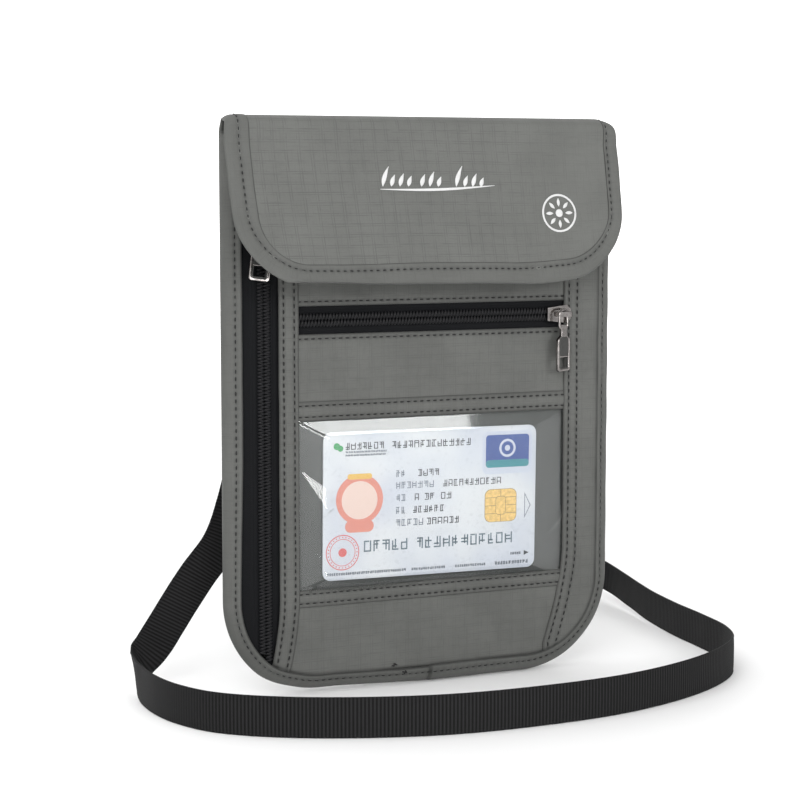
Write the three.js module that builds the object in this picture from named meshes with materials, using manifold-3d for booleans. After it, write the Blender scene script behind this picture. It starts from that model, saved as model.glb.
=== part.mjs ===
// Neck pouch wallet: a flat zipped travel pouch with a fold-over flap, a clear card window,
// two zips and a webbing neck strap. Millimetres, +Z up, the wearer's front towards -Y.
// The origin is the middle of the pouch's bottom edge, on the surface that it stands on.
import * as THREE from 'three';
import { mergeVertices } from 'three/addons/utils/BufferGeometryUtils.js';
import Module from 'manifold-3d';

const wasm = await Module();
wasm.setup();

// ---------- driving dimensions ----------
const GAP = 0.3; // clearance between neighbouring pieces

const WIDTH = 154.6; // over the binding
const HALF = WIDTH / 2;
const CORNER = 36; // outer radius of the bottom corners
const BINDING = 6.8; // width of the binding's face
const FACE = -3.6; // outside of the front panels
const SKIN = 0.7; // thickness of a front panel
const BACK = 5.8; // outside of the back panel
const BACK_SKIN = 0.8;
const LINING = 0.4;
const MOUTH = 201; // height of the main compartment's mouth
const BACK_TOP = 203; // top of the back panel
const HEM = { half: 70, y: [-2.6, -0.3], z: [MOUTH + 0.1, MOUTH + 1.3] }; // binding of the mouth's front
// section of the binding, by its inset from the pouch's edge and y: thin outside, thick inside
const BINDING_SECTION = [
  [0, -0.9],
  [BINDING / 2, -2.7],
  [BINDING, -3.9],
  [BINDING, 6],
  [BINDING / 2, 4.6],
  [0, 2.6],
];

// layers between the front panels and the back panel, by the y of their front face
const TAPE_Y = -2.6;
const CARD_Y = -2.6;
const POCKET_LINING_Y = -1.5;
const DIVIDER_Y = -0.7;
const REAR_LINING_Y = 4.3;

// seams of the front, by x from left to right and z from the top down
const BAND_LEFT = [-57, -49.75];
const POCKET_X = [-49.45, 56.2];
const BAND_RIGHT = [56.5, 62.4];
const ZIP_OPENING = [130.4, 140.6];
const WINDOW = [38.8, 99.5];
const WINDOW_BANDS = [32.3, 106.6]; // lower edge of the lower band, upper edge of the upper

// zips
const COIL = 2.35; // width of one coil
const COIL_THICK = 1;
const TAPE_WIDTH = 8;
const FRONT_TAPE_X = [BAND_LEFT[1] - 3.5, BAND_RIGHT[0] + 3.5];
const SIDE_ZIP_X = -62.4;
const FRONT_ZIP_Z = 135.5;
const SLIDER = {
  length: 9.6, width: 6.8, wall: 0.7, roof: 1.1, nose: 2.3, tailCut: 1, noseCut: 1.6, play: 0.2,
};
const BRIDGE = {
  centre: 1.6, half: 3.4, reach: 2.5, thick: 0.7, width: 1.8, root: 0.4, knee: 0.5, shoulder: 1.1, drop: 0.6,
};
const TAB = {
  width: 7.6, length: 17.4, neck: 3.4, thick: 1.3, above: 1.8, cut: 0.6,
  neckEnd: -2.4, shoulderEnd: -4.4, window: { half: 2.3, low: 1.5, high: 5.2, radius: 0.3 },
  eyePlay: 0.25, jaw: 0.8, heel: 0.4,
};
const LINK = { width: 6, length: 7.8, wire: 1, radius: 1.6, eyeRadius: 0.8 };
const SIDE_SLIDER_Z = 172.2;
const FRONT_SLIDER_X = 53.6;
const SIDE_PULL = { rise: 0.4, sink: 1.25, turn: 0, lean: 7 }; // degrees, from where its link hangs
const FRONT_PULL = { shift: 0.6, rise: 1.7, turn: 26, lean: 0 };

// flap
const FLAP_LENGTH = 58;
const FLAP_TILT = 16; // degrees that it stands out at its lower edge
const FLAP_CORNER = 25;
const FLAP_BINDING = 9;
// layers of the flap, by the y of their front face from its hinge line
const FLAP_RIM_Y = -1.5;
const FLAP_RIM_THICK = 1.6;
const FLAP_Y = -1.3;
const FLAP_THICK = 0.5;
const FLAP_LINING_Y = -0.5;
const FOLD_BACK = { y: 5.4, z: 203.5 }; // hinge line at the back panel
const FOLD_FRONT = { y: -4.2, z: 204 }; // hinge line at the flap panel
const FOLD_TOP = 206.4;
const FOLD_THICK = 1.1;
const FOLD_GAP = 0.5;

// card
const CARD = {
  x: -40.4, z: 41.1, width: 85.6, height: 53.98, thick: 0.8, radius: 3.2, lean: -0.6,
};

// touch fastener
const FASTENER = { width: 60, height: 16, thick: 1, bodyZ: 176, flapDrop: 30 };

// strap
const STRAP_WIDTH = 14;
const STRAP_THICK = 1;
const FLOOR_Z = STRAP_WIDTH / 2 + 0.1;
const ANCHOR_X = 62;
const RING = { y: 10.2, z: 173, wire: 2, width: 19, height: 13, radius: 1.5, eyeRadius: 0.5 };
const ADJUSTER = { z: 135, width: 19, height: 14, bar: 2.4, rail: 1.8, thick: 1.3, backGap: 0.4 };
const ANCHOR_LOOP = { width: 13, top: 200, sewn: 2, thick: 1, slack: 0.5 };
const STRAP_Y = 8.2; // middle of the strap where it runs up the back

// ---------- materials ----------
const finish = (color, roughness, metalness = 0) =>
  new THREE.MeshStandardMaterial({ color, roughness, metalness });
const FABRIC = finish(0x757672, 0.75);
const SHIELD = finish(0x9a9c9c, 0.5);
const ZIP_TAPE = finish(0x1d1e22, 0.85);
const COIL_NYLON = finish(0x26272c, 0.4);
const GUNMETAL = finish(0x8d8a88, 0.25, 0.9);
const FILM = new THREE.MeshStandardMaterial({
  color: 0xdfe4e6, roughness: 0.12, metalness: 0, transparent: true, opacity: 0.35,
});
const CARD_STOCK = finish(0xe3e5ec, 0.35);
const TOUCH_TAPE = finish(0x2b2c2e, 0.95);
const WEBBING = finish(0x1b1b1c, 0.8);
const BLACK_PLASTIC = finish(0x161617, 0.45);

// ---------- solids ----------
const pouch = new THREE.Group();

function add(name, geometry, material, parent = pouch) {
  const mesh = new THREE.Mesh(geometry, material);
  mesh.name = name;
  parent.add(mesh);
  return mesh;
}

function toSolid(geometry) {
  const bare = geometry.clone();
  bare.deleteAttribute('normal');
  bare.deleteAttribute('uv');
  const merged = mergeVertices(bare, 1e-4);
  return new wasm.Manifold(new wasm.Mesh({
    numProp: 3,
    vertProperties: new Float32Array(merged.attributes.position.array),
    triVerts: new Uint32Array(merged.index.array),
  }));
}

function toGeometry(solid) {
  const mesh = solid.getMesh();
  const geometry = new THREE.BufferGeometry();
  geometry.setAttribute('position', new THREE.BufferAttribute(mesh.vertProperties, 3));
  geometry.setIndex(new THREE.BufferAttribute(mesh.triVerts, 1));
  return geometry;
}

const common = (a, b) => toGeometry(toSolid(a).intersect(toSolid(b)));
const without = (a, b) => toGeometry(toSolid(a).subtract(toSolid(b)));
const joined = (a, b) => toGeometry(toSolid(a).add(toSolid(b)));

// A flat piece facing -Y: the outline is drawn in x and z, and its front face is at y.
function plate(shape, y, thick, segments = 10) {
  const geometry = new THREE.ExtrudeGeometry(shape, {
    depth: thick, bevelEnabled: false, curveSegments: segments,
  });
  return geometry.rotateX(Math.PI / 2).translate(0, y + thick, 0);
}

// A piece of one section along X: the section is drawn in y and z.
function bar(shape, x, length, segments = 8) {
  const geometry = new THREE.ExtrudeGeometry(shape, {
    depth: length, bevelEnabled: false, curveSegments: segments,
  });
  return geometry.rotateX(Math.PI / 2).rotateZ(Math.PI / 2).translate(x, 0, 0);
}

function block(x, y, z) {
  const geometry = new THREE.BoxGeometry(x[1] - x[0], y[1] - y[0], z[1] - z[0]);
  return geometry.translate((x[0] + x[1]) / 2, (y[0] + y[1]) / 2, (z[0] + z[1]) / 2);
}

function rectangle(x, z, radius = 0) {
  const shape = new THREE.Shape();
  roundedPath(shape, x, z, radius);
  return shape;
}

function roundedPath(path, [x0, x1], [z0, z1], r) {
  path.moveTo(x0 + r, z0);
  path.lineTo(x1 - r, z0);
  if (r) path.absarc(x1 - r, z0 + r, r, -Math.PI / 2, 0);
  path.lineTo(x1, z1 - r);
  if (r) path.absarc(x1 - r, z1 - r, r, 0, Math.PI / 2);
  path.lineTo(x0 + r, z1);
  if (r) path.absarc(x0 + r, z1 - r, r, Math.PI / 2, Math.PI);
  path.lineTo(x0, z0 + r);
  if (r) path.absarc(x0 + r, z0 + r, r, Math.PI, 1.5 * Math.PI);
}

// The pouch's outline, moved in by inset, with an open top at the height top.
function pouchShape(inset, top) {
  const half = HALF - inset;
  const r = CORNER - inset;
  const shape = new THREE.Shape();
  shape.moveTo(-half, top);
  shape.lineTo(-half, CORNER);
  shape.absarc(-half + r, CORNER, r, Math.PI, 1.5 * Math.PI);
  shape.lineTo(half - r, inset);
  shape.absarc(half - r, CORNER, r, 1.5 * Math.PI, 2 * Math.PI);
  shape.lineTo(half, top);
  return shape;
}

const INNER = BINDING + GAP; // inset of the pieces that the binding surrounds

// An upright strip or panel of the front, trimmed to the rounded bottom of the pouch.
function trimmed(x, z, y, thick) {
  const inside = plate(pouchShape(INNER, MOUTH + 5), y - 1, thick + 2);
  return common(plate(rectangle(x, z), y, thick), inside);
}

// A closed skin over a row of sections, each a loop of as many points.
function loft(sections) {
  const count = sections[0].length;
  const position = sections.flat().flatMap((p) => [p.x, p.y, p.z]);
  const index = [];
  for (let s = 0; s + 1 < sections.length; s++) {
    for (let i = 0; i < count; i++) {
      const j = (i + 1) % count;
      const a = s * count + i;
      const b = s * count + j;
      index.push(a, a + count, b + count, a, b + count, b);
    }
  }
  const last = (sections.length - 1) * count;
  for (let i = 1; i + 1 < count; i++) {
    index.push(0, i, i + 1, last, last + i + 1, last + i);
  }
  const geometry = new THREE.BufferGeometry();
  geometry.setAttribute('position', new THREE.Float32BufferAttribute(position, 3));
  geometry.setIndex(index);
  return enclosedVolume(geometry) < 0 ? flipped(geometry) : geometry;
}

function enclosedVolume(geometry) {
  const corner = [new THREE.Vector3(), new THREE.Vector3(), new THREE.Vector3()];
  const { array } = geometry.index;
  let volume = 0;
  for (let t = 0; t < array.length; t += 3) {
    corner.forEach((v, k) => v.fromBufferAttribute(geometry.attributes.position, array[t + k]));
    volume += corner[0].dot(corner[1].clone().cross(corner[2]));
  }
  return volume;
}

function flipped(geometry) {
  const { array } = geometry.index;
  for (let t = 0; t < array.length; t += 3) {
    [array[t + 1], array[t + 2]] = [array[t + 2], array[t + 1]];
  }
  return geometry;
}

// ---------- back, linings and binding ----------
function addShell() {
  add('back_panel', plate(pouchShape(INNER, BACK_TOP), BACK - BACK_SKIN, BACK_SKIN), FABRIC);
  add('rear_shield_lining', plate(pouchShape(INNER, MOUTH), REAR_LINING_Y, LINING), SHIELD);
  add('divider_shield_lining', plate(pouchShape(INNER, MOUTH - 1), DIVIDER_Y, LINING), SHIELD);
  const pocket = rectangle([BAND_LEFT[0], BAND_RIGHT[1]], [0, MOUTH - 1]);
  const inside = plate(pouchShape(INNER, MOUTH), POCKET_LINING_Y - 1, LINING + 2);
  add('front_pocket_lining', common(plate(pocket, POCKET_LINING_Y, LINING), inside), FABRIC);
  add('mouth_binding', block([-HEM.half, HEM.half], HEM.y, HEM.z), FABRIC);
  add('body_binding', bindingSolid(), FABRIC);
}

// The binding folds over the edge: a wedge in section, thin outside and as thick as the
// pouch inside, swept down one side, round the bottom and up the other side.
function bindingSolid() {
  const steps = 8;
  const spine = [{ x: -HALF, z: MOUTH, angle: Math.PI }];
  for (let i = 0; i <= steps; i++) spine.push(cornerStation(-1, Math.PI * (1 + i / steps / 2)));
  for (let i = 0; i <= steps; i++) spine.push(cornerStation(1, Math.PI * (1.5 + i / steps / 2)));
  spine.push({ x: HALF, z: MOUTH, angle: 2 * Math.PI });
  return loft(spine.map(bindingStation));
}

function bindingStation({ x, z, angle }) {
  const place = ([inset, y]) =>
    new THREE.Vector3(x - Math.cos(angle) * inset, y, z - Math.sin(angle) * inset);
  return BINDING_SECTION.map(place);
}

function cornerStation(side, angle) {
  const centre = side * (HALF - CORNER);
  return { x: centre + CORNER * Math.cos(angle), z: CORNER + CORNER * Math.sin(angle), angle };
}

// ---------- front ----------
function addFront() {
  const skin = (name, x, z) => add(name, trimmed(x, z, FACE, SKIN), FABRIC);
  skin('left_band', BAND_LEFT, [0, MOUTH]);
  skin('right_band', BAND_RIGHT, [0, MOUTH]);
  skin('right_margin_panel', [BAND_RIGHT[1] + GAP, HALF], [0, MOUTH]);
  skin('upper_front_panel', POCKET_X, [ZIP_OPENING[1], MOUTH]);
  skin('pocket_upper_panel', POCKET_X, [WINDOW_BANDS[1] + GAP, ZIP_OPENING[0]]);
  skin('window_top_band', POCKET_X, [WINDOW[1] + GAP, WINDOW_BANDS[1]]);
  skin('window_bottom_band', POCKET_X, [WINDOW_BANDS[0], WINDOW[0] - GAP]);
  skin('pocket_lower_panel', POCKET_X, [0, WINDOW_BANDS[0] - GAP]);
  add('window_film', trimmed(POCKET_X, WINDOW, FACE + 0.1, 0.4), FILM);
  const card = rectangle([0, CARD.width], [0, CARD.height], CARD.radius);
  const cardMesh = add('id_card', plate(card, 0, CARD.thick, 4), CARD_STOCK);
  cardMesh.position.set(CARD.x, CARD_Y, CARD.z);
  cardMesh.rotation.y = THREE.MathUtils.degToRad(-CARD.lean);
  const half = FASTENER.width / 2;
  const y = [FACE - GAP - FASTENER.thick, FACE - GAP];
  const z = [FASTENER.bodyZ - FASTENER.height / 2, FASTENER.bodyZ + FASTENER.height / 2];
  add('loop_tape', block([-half, half], y, z), TOUCH_TAPE);
}

// ---------- zips ----------
function addZips() {
  const coilY = TAPE_Y - GAP - COIL_THICK;
  [['outer', -1], ['inner', 1]].forEach(([side, sign]) => {
    const tapeX = zipSide(SIDE_ZIP_X, sign, TAPE_WIDTH);
    const coilX = zipSide(SIDE_ZIP_X, sign, COIL);
    add(`side_zip_tape_${side}`, trimmed(tapeX, [0, MOUTH], TAPE_Y, LINING), ZIP_TAPE);
    add(`side_zip_coil_${side}`, trimmed(coilX, [0, MOUTH - 3], coilY, COIL_THICK), COIL_NYLON);
  });
  [['upper', 1], ['lower', -1]].forEach(([side, sign]) => {
    const tape = rectangle(FRONT_TAPE_X, zipSide(FRONT_ZIP_Z, sign, TAPE_WIDTH));
    const coil = rectangle(POCKET_X, zipSide(FRONT_ZIP_Z, sign, COIL));
    add(`front_zip_tape_${side}`, plate(tape, TAPE_Y, LINING), ZIP_TAPE);
    add(`front_zip_coil_${side}`, plate(coil, coilY, COIL_THICK), COIL_NYLON);
  });

  const side = new THREE.Group();
  side.position.set(SIDE_ZIP_X, 0, SIDE_SLIDER_Z);
  side.rotation.y = -Math.PI / 2;
  pouch.add(side);
  add('side_zip_slider', sliderSolid(), GUNMETAL, side);
  const sideHook = [SIDE_ZIP_X, BRIDGE_Y + SIDE_PULL.sink, SIDE_SLIDER_Z + SIDE_PULL.rise];
  addPull('side_zip', sideHook, SIDE_PULL);

  const front = new THREE.Group();
  front.position.set(FRONT_SLIDER_X, 0, FRONT_ZIP_Z);
  pouch.add(front);
  add('front_zip_slider', sliderSolid(), GUNMETAL, front);
  const frontHook = [FRONT_SLIDER_X + FRONT_PULL.shift, BRIDGE_Y, FRONT_ZIP_Z + FRONT_PULL.rise];
  addPull('front_zip', frontHook, FRONT_PULL);
}

// How far one side of a zip reaches across it, from its middle line outwards.
function zipSide(middle, sign, width) {
  const near = middle + (sign * GAP) / 2;
  const far = near + sign * width;
  return sign < 0 ? [far, near] : [near, far];
}

const SLIDER_TOP = TAPE_Y - GAP - COIL_THICK - GAP - SLIDER.roof; // front of the slider's roof
const BRIDGE_Y = SLIDER_TOP - BRIDGE.reach + BRIDGE.thick / 2; // middle of the bridge's bar

// A channel that rides over both coils along X, with a bridge on its roof for the pull.
function sliderSolid() {
  const { length, width, wall, roof, nose, tailCut, noseCut, play } = SLIDER;
  const outline = new THREE.Shape();
  outline.moveTo(-length / 2, -width / 2 + tailCut);
  outline.lineTo(length / 2 - noseCut, -width / 2);
  outline.lineTo(length / 2, -width / 2 + noseCut);
  outline.lineTo(length / 2, width / 2 - noseCut);
  outline.lineTo(length / 2 - noseCut, width / 2);
  outline.lineTo(-length / 2, width / 2 - tailCut);
  const shell = plate(outline, SLIDER_TOP, TAPE_Y - GAP - SLIDER_TOP);
  const room = width / 2 - wall - play;
  const channel = block([-length, length], [SLIDER_TOP + roof, 0], [-room, room]);
  const noseRoom = block([nose, length], [SLIDER_TOP + roof, 0], [-width, width]);
  const body = without(without(shell, channel), noseRoom);
  const strip = new THREE.ExtrudeGeometry(bridgeShape(), { depth: BRIDGE.width, bevelEnabled: false });
  strip.translate(BRIDGE.centre, 0, -BRIDGE.width / 2);
  return joined(body, strip);
}

// A low arch in x and y, rooted a little way into the roof.
function bridgeShape() {
  const { half, reach, thick, root, knee, shoulder, drop } = BRIDGE;
  const crown = SLIDER_TOP - reach;
  const side = (sign, inset) => [
    [sign * (half - inset), SLIDER_TOP + root],
    [sign * (half - knee - inset), crown + inset + drop],
    [sign * (half - shoulder - inset), crown + inset],
  ];
  const outer = [...side(-1, 0), ...side(1, 0).reverse()];
  const inner = [...side(-1, thick), ...side(1, thick).reverse()].reverse();
  return new THREE.Shape([...outer, ...inner].map(([x, y]) => new THREE.Vector2(x, y)));
}

// The link is a wire loop that hangs from the bridge, and the tab hangs from the link.
function addPull(zip, hook, { turn, lean }) {
  const pull = new THREE.Group();
  pull.position.set(...hook);
  pull.rotation.y = THREE.MathUtils.degToRad(lean);
  pull.rotation.z = THREE.MathUtils.degToRad(turn);
  pouch.add(pull);
  const half = LINK.width / 2;
  const link = rectangle([-half, half], [-LINK.length, LINK.wire / 2], LINK.radius);
  const eye = new THREE.Path();
  const inner = half - LINK.wire;
  roundedPath(eye, [-inner, inner], [LINK.wire - LINK.length, -LINK.wire / 2], LINK.eyeRadius);
  link.holes.push(eye);
  add(`${zip}_link`, plate(link, -LINK.wire / 2, LINK.wire, 4), GUNMETAL, pull);
  const tab = new THREE.Group();
  tab.position.set(0, 0, LINK.wire / 2 - LINK.length);
  pull.add(tab);
  add(`${zip}_tab`, tabSolid(), GUNMETAL, tab);
}

// A bottle-shaped plate: an eye round the link's lower wire, a neck, shoulders and a body
// with a small window near its end.
function tabSolid() {
  const { width, length, neck, thick, above, cut, neckEnd, shoulderEnd, window, eyePlay, jaw, heel } = TAB;
  const half = width / 2;
  const end = above - length;
  const shape = new THREE.Shape();
  shape.moveTo(-neck / 2, above);
  shape.lineTo(-neck / 2, neckEnd);
  shape.quadraticCurveTo(-half, neckEnd - 0.6, -half, shoulderEnd);
  shape.lineTo(-half, end + cut);
  shape.lineTo(-half + cut, end);
  shape.lineTo(half - cut, end);
  shape.lineTo(half, end + cut);
  shape.lineTo(half, shoulderEnd);
  shape.quadraticCurveTo(half, neckEnd - 0.6, neck / 2, neckEnd);
  shape.lineTo(neck / 2, above);
  const opening = new THREE.Path();
  const openingZ = [end + window.low, end + window.high];
  roundedPath(opening, [-window.half, window.half], openingZ, window.radius);
  shape.holes.push(opening);
  const body = plate(shape, -thick / 2, thick, 4);
  const room = LINK.wire / 2 + eyePlay;
  const neckX = [-neck / 2, neck / 2];
  const slot = block([-half, half], [-thick, room], [-room, room]);
  const jawPiece = block(neckX, [-room - jaw, -room], [-above, above]);
  const heelPiece = block(neckX, [-room - heel, thick / 2], [neckEnd, -room]);
  const headPiece = block(neckX, [-room - heel, thick / 2], [room, above]);
  return joined(joined(joined(without(body, slot), jawPiece), heelPiece), headPiece);
}

// ---------- flap ----------
function addFlap() {
  add('flap_fold', foldSolid(), FABRIC);
  const flap = new THREE.Group();
  flap.position.set(0, FOLD_FRONT.y, FOLD_FRONT.z);
  flap.rotation.x = THREE.MathUtils.degToRad(-FLAP_TILT);
  pouch.add(flap);
  const inner = flapShape(FLAP_BINDING + GAP);
  add('flap_outer', plate(inner, FLAP_Y, FLAP_THICK), FABRIC, flap);
  add('flap_lining', plate(inner, FLAP_LINING_Y, LINING), SHIELD, flap);
  const middle = plate(flapShape(FLAP_BINDING, 5), -5, 10);
  const rim = without(plate(flapShape(0), FLAP_RIM_Y, FLAP_RIM_THICK), middle);
  add('flap_binding', rim, FABRIC, flap);
  const { width, height, thick, flapDrop } = FASTENER;
  const tapeY = FLAP_LINING_Y + LINING + GAP;
  const tapeZ = [-flapDrop - height / 2, -flapDrop + height / 2];
  add('hook_tape', block([-width / 2, width / 2], [tapeY, tapeY + thick], tapeZ), TOUCH_TAPE, flap);
}

// The flap hangs from z = 0: straight sides and rounded lower corners.
function flapShape(inset, top = -FOLD_GAP) {
  const half = HALF - inset;
  const r = FLAP_CORNER - inset;
  const low = inset - FLAP_LENGTH;
  const shape = new THREE.Shape();
  shape.moveTo(-half, top);
  shape.lineTo(-half, low + r);
  shape.absarc(-half + r, low + r, r, Math.PI, 1.5 * Math.PI);
  shape.lineTo(half - r, low);
  shape.absarc(half - r, low + r, r, 1.5 * Math.PI, 2 * Math.PI);
  shape.lineTo(half, top);
  return shape;
}

// The fold crosses the mouth from the back panel to the flap, arched as bent cloth is.
function foldSolid() {
  const depth = FOLD_BACK.y - FOLD_FRONT.y;
  const middle = (FOLD_BACK.y + FOLD_FRONT.y) / 2;
  const crown = FOLD_TOP - FOLD_THICK / 2;
  const arch = new THREE.QuadraticBezierCurve3(
    new THREE.Vector3(0, FOLD_BACK.y - 0.25, FOLD_BACK.z + FOLD_GAP),
    new THREE.Vector3(0, middle, 2 * crown - (FOLD_BACK.z + FOLD_FRONT.z) / 2 - FOLD_GAP),
    new THREE.Vector3(0, FOLD_FRONT.y + 0.25, FOLD_FRONT.z + FOLD_GAP),
  );
  const steps = Math.round(depth);
  const along = arch.getPoints(steps);
  const outer = [];
  const inner = [];
  along.forEach((p, i) => {
    const t = arch.getTangent(i / steps);
    const out = new THREE.Vector2(t.z, -t.y).multiplyScalar(FOLD_THICK / 2);
    outer.push(new THREE.Vector2(p.y + out.x, p.z + out.y));
    inner.push(new THREE.Vector2(p.y - out.x, p.z - out.y));
  });
  return bar(new THREE.Shape([...outer, ...inner.reverse()]), -HALF, WIDTH);
}

// ---------- strap ----------
// Middle of the strap from its sewn end at the upper left of the back, down and round in
// front of the pouch, then back and up to the ring: [x, y, z, turn], where turn is how far
// its width has turned from +X (0, flat against the back) to -Z (90, standing on edge).
const DOWN_LEFT = [
  [-62, 6.9, 197, 0],
  [-62, 7, 175, 0],
  [-62, 7.6, 150, 0],
  [-62.2, 8.4, 125, 3],
  [-63, 9.3, 104, 10],
  [-65, 10.3, 86, 20],
  [-68.6, 11.5, 69.5, 31],
  [-73.4, 13, 55.5, 39],
  [-81.1, 17, 43.3, 44],
  [-86.3, 21, 33.5, 46],
  [-91.4, 24.5, 23.6, 50],
  [-95.4, 27, 16.2, 58],
  [-99, 27.2, 12, 68],
  [-102.2, 24.2, 9.6, 77],
  [-104.2, 17.5, 8, 85],
];
const ON_FLOOR = [
  [-104.8, 7],
  [-104.2, -8],
  [-100.6, -22.5],
  [-92.6, -37],
  [-76, -50.5],
  [-50, -62.8],
  [-20, -71],
  [12, -73],
  [45, -70.5],
  [75, -61.5],
  [98, -49],
  [113, -35],
  [120.5, -18],
  [123.5, 3],
  [125.5, 28],
];
const UP_RIGHT = [
  [128, 52, 7.8, 88],
  [131.5, 76, 9.4, 85],
  [133, 97, 11.6, 82],
  [129, 113, 14.5, 80],
  [117, 121, 18, 78],
  [103, 118, 22, 74],
  [90, 105, 27, 68],
  [79, 86, 33, 58],
  [70.5, 64, 41.5, 44],
  [65, 43, 54, 28],
  [62.6, 26, 71, 13],
  [ANCHOR_X, 14.6, 92, 3],
  [ANCHOR_X, 9.6, 114, 0],
  [ANCHOR_X, STRAP_Y, 132, 0],
  [ANCHOR_X, STRAP_Y, 150, 0],
  [ANCHOR_X, STRAP_Y, 166, 0],
];
const TURN_RADIUS = RING.y - STRAP_Y;
const RETURN = [
  [ANCHOR_X, RING.y + TURN_RADIUS, 166, 0],
  [ANCHOR_X, 11.4, 154, 0],
  [ANCHOR_X, 10, 142, 0],
  [ANCHOR_X, 9.7, ADJUSTER.z + ADJUSTER.bar / 2 + 0.4, 0],
];

function addStrap() {
  const floor = ON_FLOOR.map(([x, y]) => [x, y, FLOOR_Z, 90]);
  const overRing = [0, 1, 2, 3, 4].map((i) => {
    const a = Math.PI * (1 - i / 4);
    const y = RING.y + TURN_RADIUS * Math.cos(a);
    const z = RING.z + TURN_RADIUS * Math.sin(a);
    return [ANCHOR_X, y, z, 0];
  });
  const route = [...DOWN_LEFT, ...floor, ...UP_RIGHT, ...overRing, ...RETURN];
  add('neck_strap', ribbon(route), WEBBING);
  add('strap_ring', ringSolid(), BLACK_PLASTIC);
  add('strap_anchor_loop', anchorSolid(), WEBBING);
  add('strap_adjuster', adjusterSolid(), BLACK_PLASTIC);
}

// A rectangular ring of even wire, with RING.z at the middle of its lower bar.
function ringSolid() {
  const { wire, width, height, radius, eyeRadius } = RING;
  const x = [ANCHOR_X - width / 2, ANCHOR_X + width / 2];
  const z = [RING.z - wire / 2, RING.z - wire / 2 + height];
  const frame = rectangle(x, z, radius);
  const eye = new THREE.Path();
  roundedPath(eye, [x[0] + wire, x[1] - wire], [z[0] + wire, z[1] - wire], eyeRadius);
  frame.holes.push(eye);
  return plate(frame, RING.y - wire / 2, wire, 4);
}

function ribbon(route) {
  const points = route.map(([x, y, z]) => new THREE.Vector3(x, y, z));
  const curve = new THREE.CatmullRomCurve3(points, false, 'centripetal');
  const sections = [];
  for (let i = 0; i + 1 < route.length; i++) {
    const cuts = points[i].distanceTo(points[i + 1]) > 18 ? 2 : 1;
    for (let c = 0; c < cuts; c++) sections.push(strapSection(curve, route, i + c / cuts));
  }
  sections.push(strapSection(curve, route, route.length - 1));
  return loft(sections);
}

function strapSection(curve, route, at) {
  const whole = Math.min(Math.floor(at), route.length - 2);
  const turn = THREE.MathUtils.lerp(route[whole][3], route[whole + 1][3], at - whole);
  const t = at / (route.length - 1);
  const middle = curve.getPoint(t);
  const along = curve.getTangent(t);
  const a = THREE.MathUtils.degToRad(turn);
  const width = new THREE.Vector3(Math.cos(a), 0, -Math.sin(a));
  width.addScaledVector(along, -width.dot(along)).normalize();
  const out = along.clone().cross(width).normalize();
  return [[-1, -1], [1, -1], [1, 1], [-1, 1]].map(([w, o]) => middle.clone()
    .addScaledVector(width, (w * STRAP_WIDTH) / 2)
    .addScaledVector(out, (o * STRAP_THICK) / 2));
}

// A short loop of webbing, sewn flat on the back panel above and round the ring's top wire.
function anchorSolid() {
  const { width, top, sewn, thick, slack } = ANCHOR_LOOP;
  const wireZ = RING.z - RING.wire + RING.height;
  const inside = RING.wire / 2 + slack;
  const outside = inside + thick;
  const shape = new THREE.Shape();
  shape.moveTo(BACK + GAP, top);
  shape.lineTo(BACK + GAP, wireZ + 5);
  shape.lineTo(RING.y - outside, wireZ);
  shape.absarc(RING.y, wireZ, outside, Math.PI, 2 * Math.PI);
  shape.lineTo(BACK + GAP + sewn, top);
  const eye = new THREE.Path();
  eye.absarc(RING.y, wireZ, inside * 1.05, 0, 2 * Math.PI);
  shape.holes.push(eye);
  return bar(shape, ANCHOR_X - width / 2, width, 5);
}

// A three-bar slide: the strap runs straight through it, behind the middle bar and in
// front of the other two, and the strap's returned end is sewn round the middle bar.
function adjusterSolid() {
  const { z, width, height, bar: wide, rail, thick, backGap } = ADJUSTER;
  const x = [ANCHOR_X - width / 2, ANCHOR_X + width / 2];
  const behind = [BACK + backGap, STRAP_Y - STRAP_THICK / 2 - GAP];
  const infront = [STRAP_Y + STRAP_THICK / 2 + GAP, STRAP_Y + STRAP_THICK / 2 + GAP + thick];
  let solid = block(x, infront, [z - wide / 2, z + wide / 2]);
  for (const sign of [-1, 1]) {
    const edge = z + (sign * (height - wide)) / 2;
    solid = joined(solid, block(x, behind, [edge - wide / 2, edge + wide / 2]));
    const side = ANCHOR_X + (sign * (width - rail)) / 2;
    const railX = [side - rail / 2, side + rail / 2];
    solid = joined(solid, block(railX, [behind[0], infront[1]], [z - height / 2, z + height / 2]));
  }
  return solid;
}

addShell();
addFront();
addZips();
addFlap();
addStrap();

export default pouch;
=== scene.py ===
"""The looks of a neck pouch wallet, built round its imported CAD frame.

Metres, +Z up, the pouch's front towards -Y. The cover is the cloth that runs up the back, over the
mouth and down the flap: a place on it is (x, h), where h is the distance along it from the flap's
hinge, negative down the flap, positive over the fold and down the back.
"""

import math

import bmesh
import bpy
import numpy as np
from mathutils import Matrix, Vector


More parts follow.
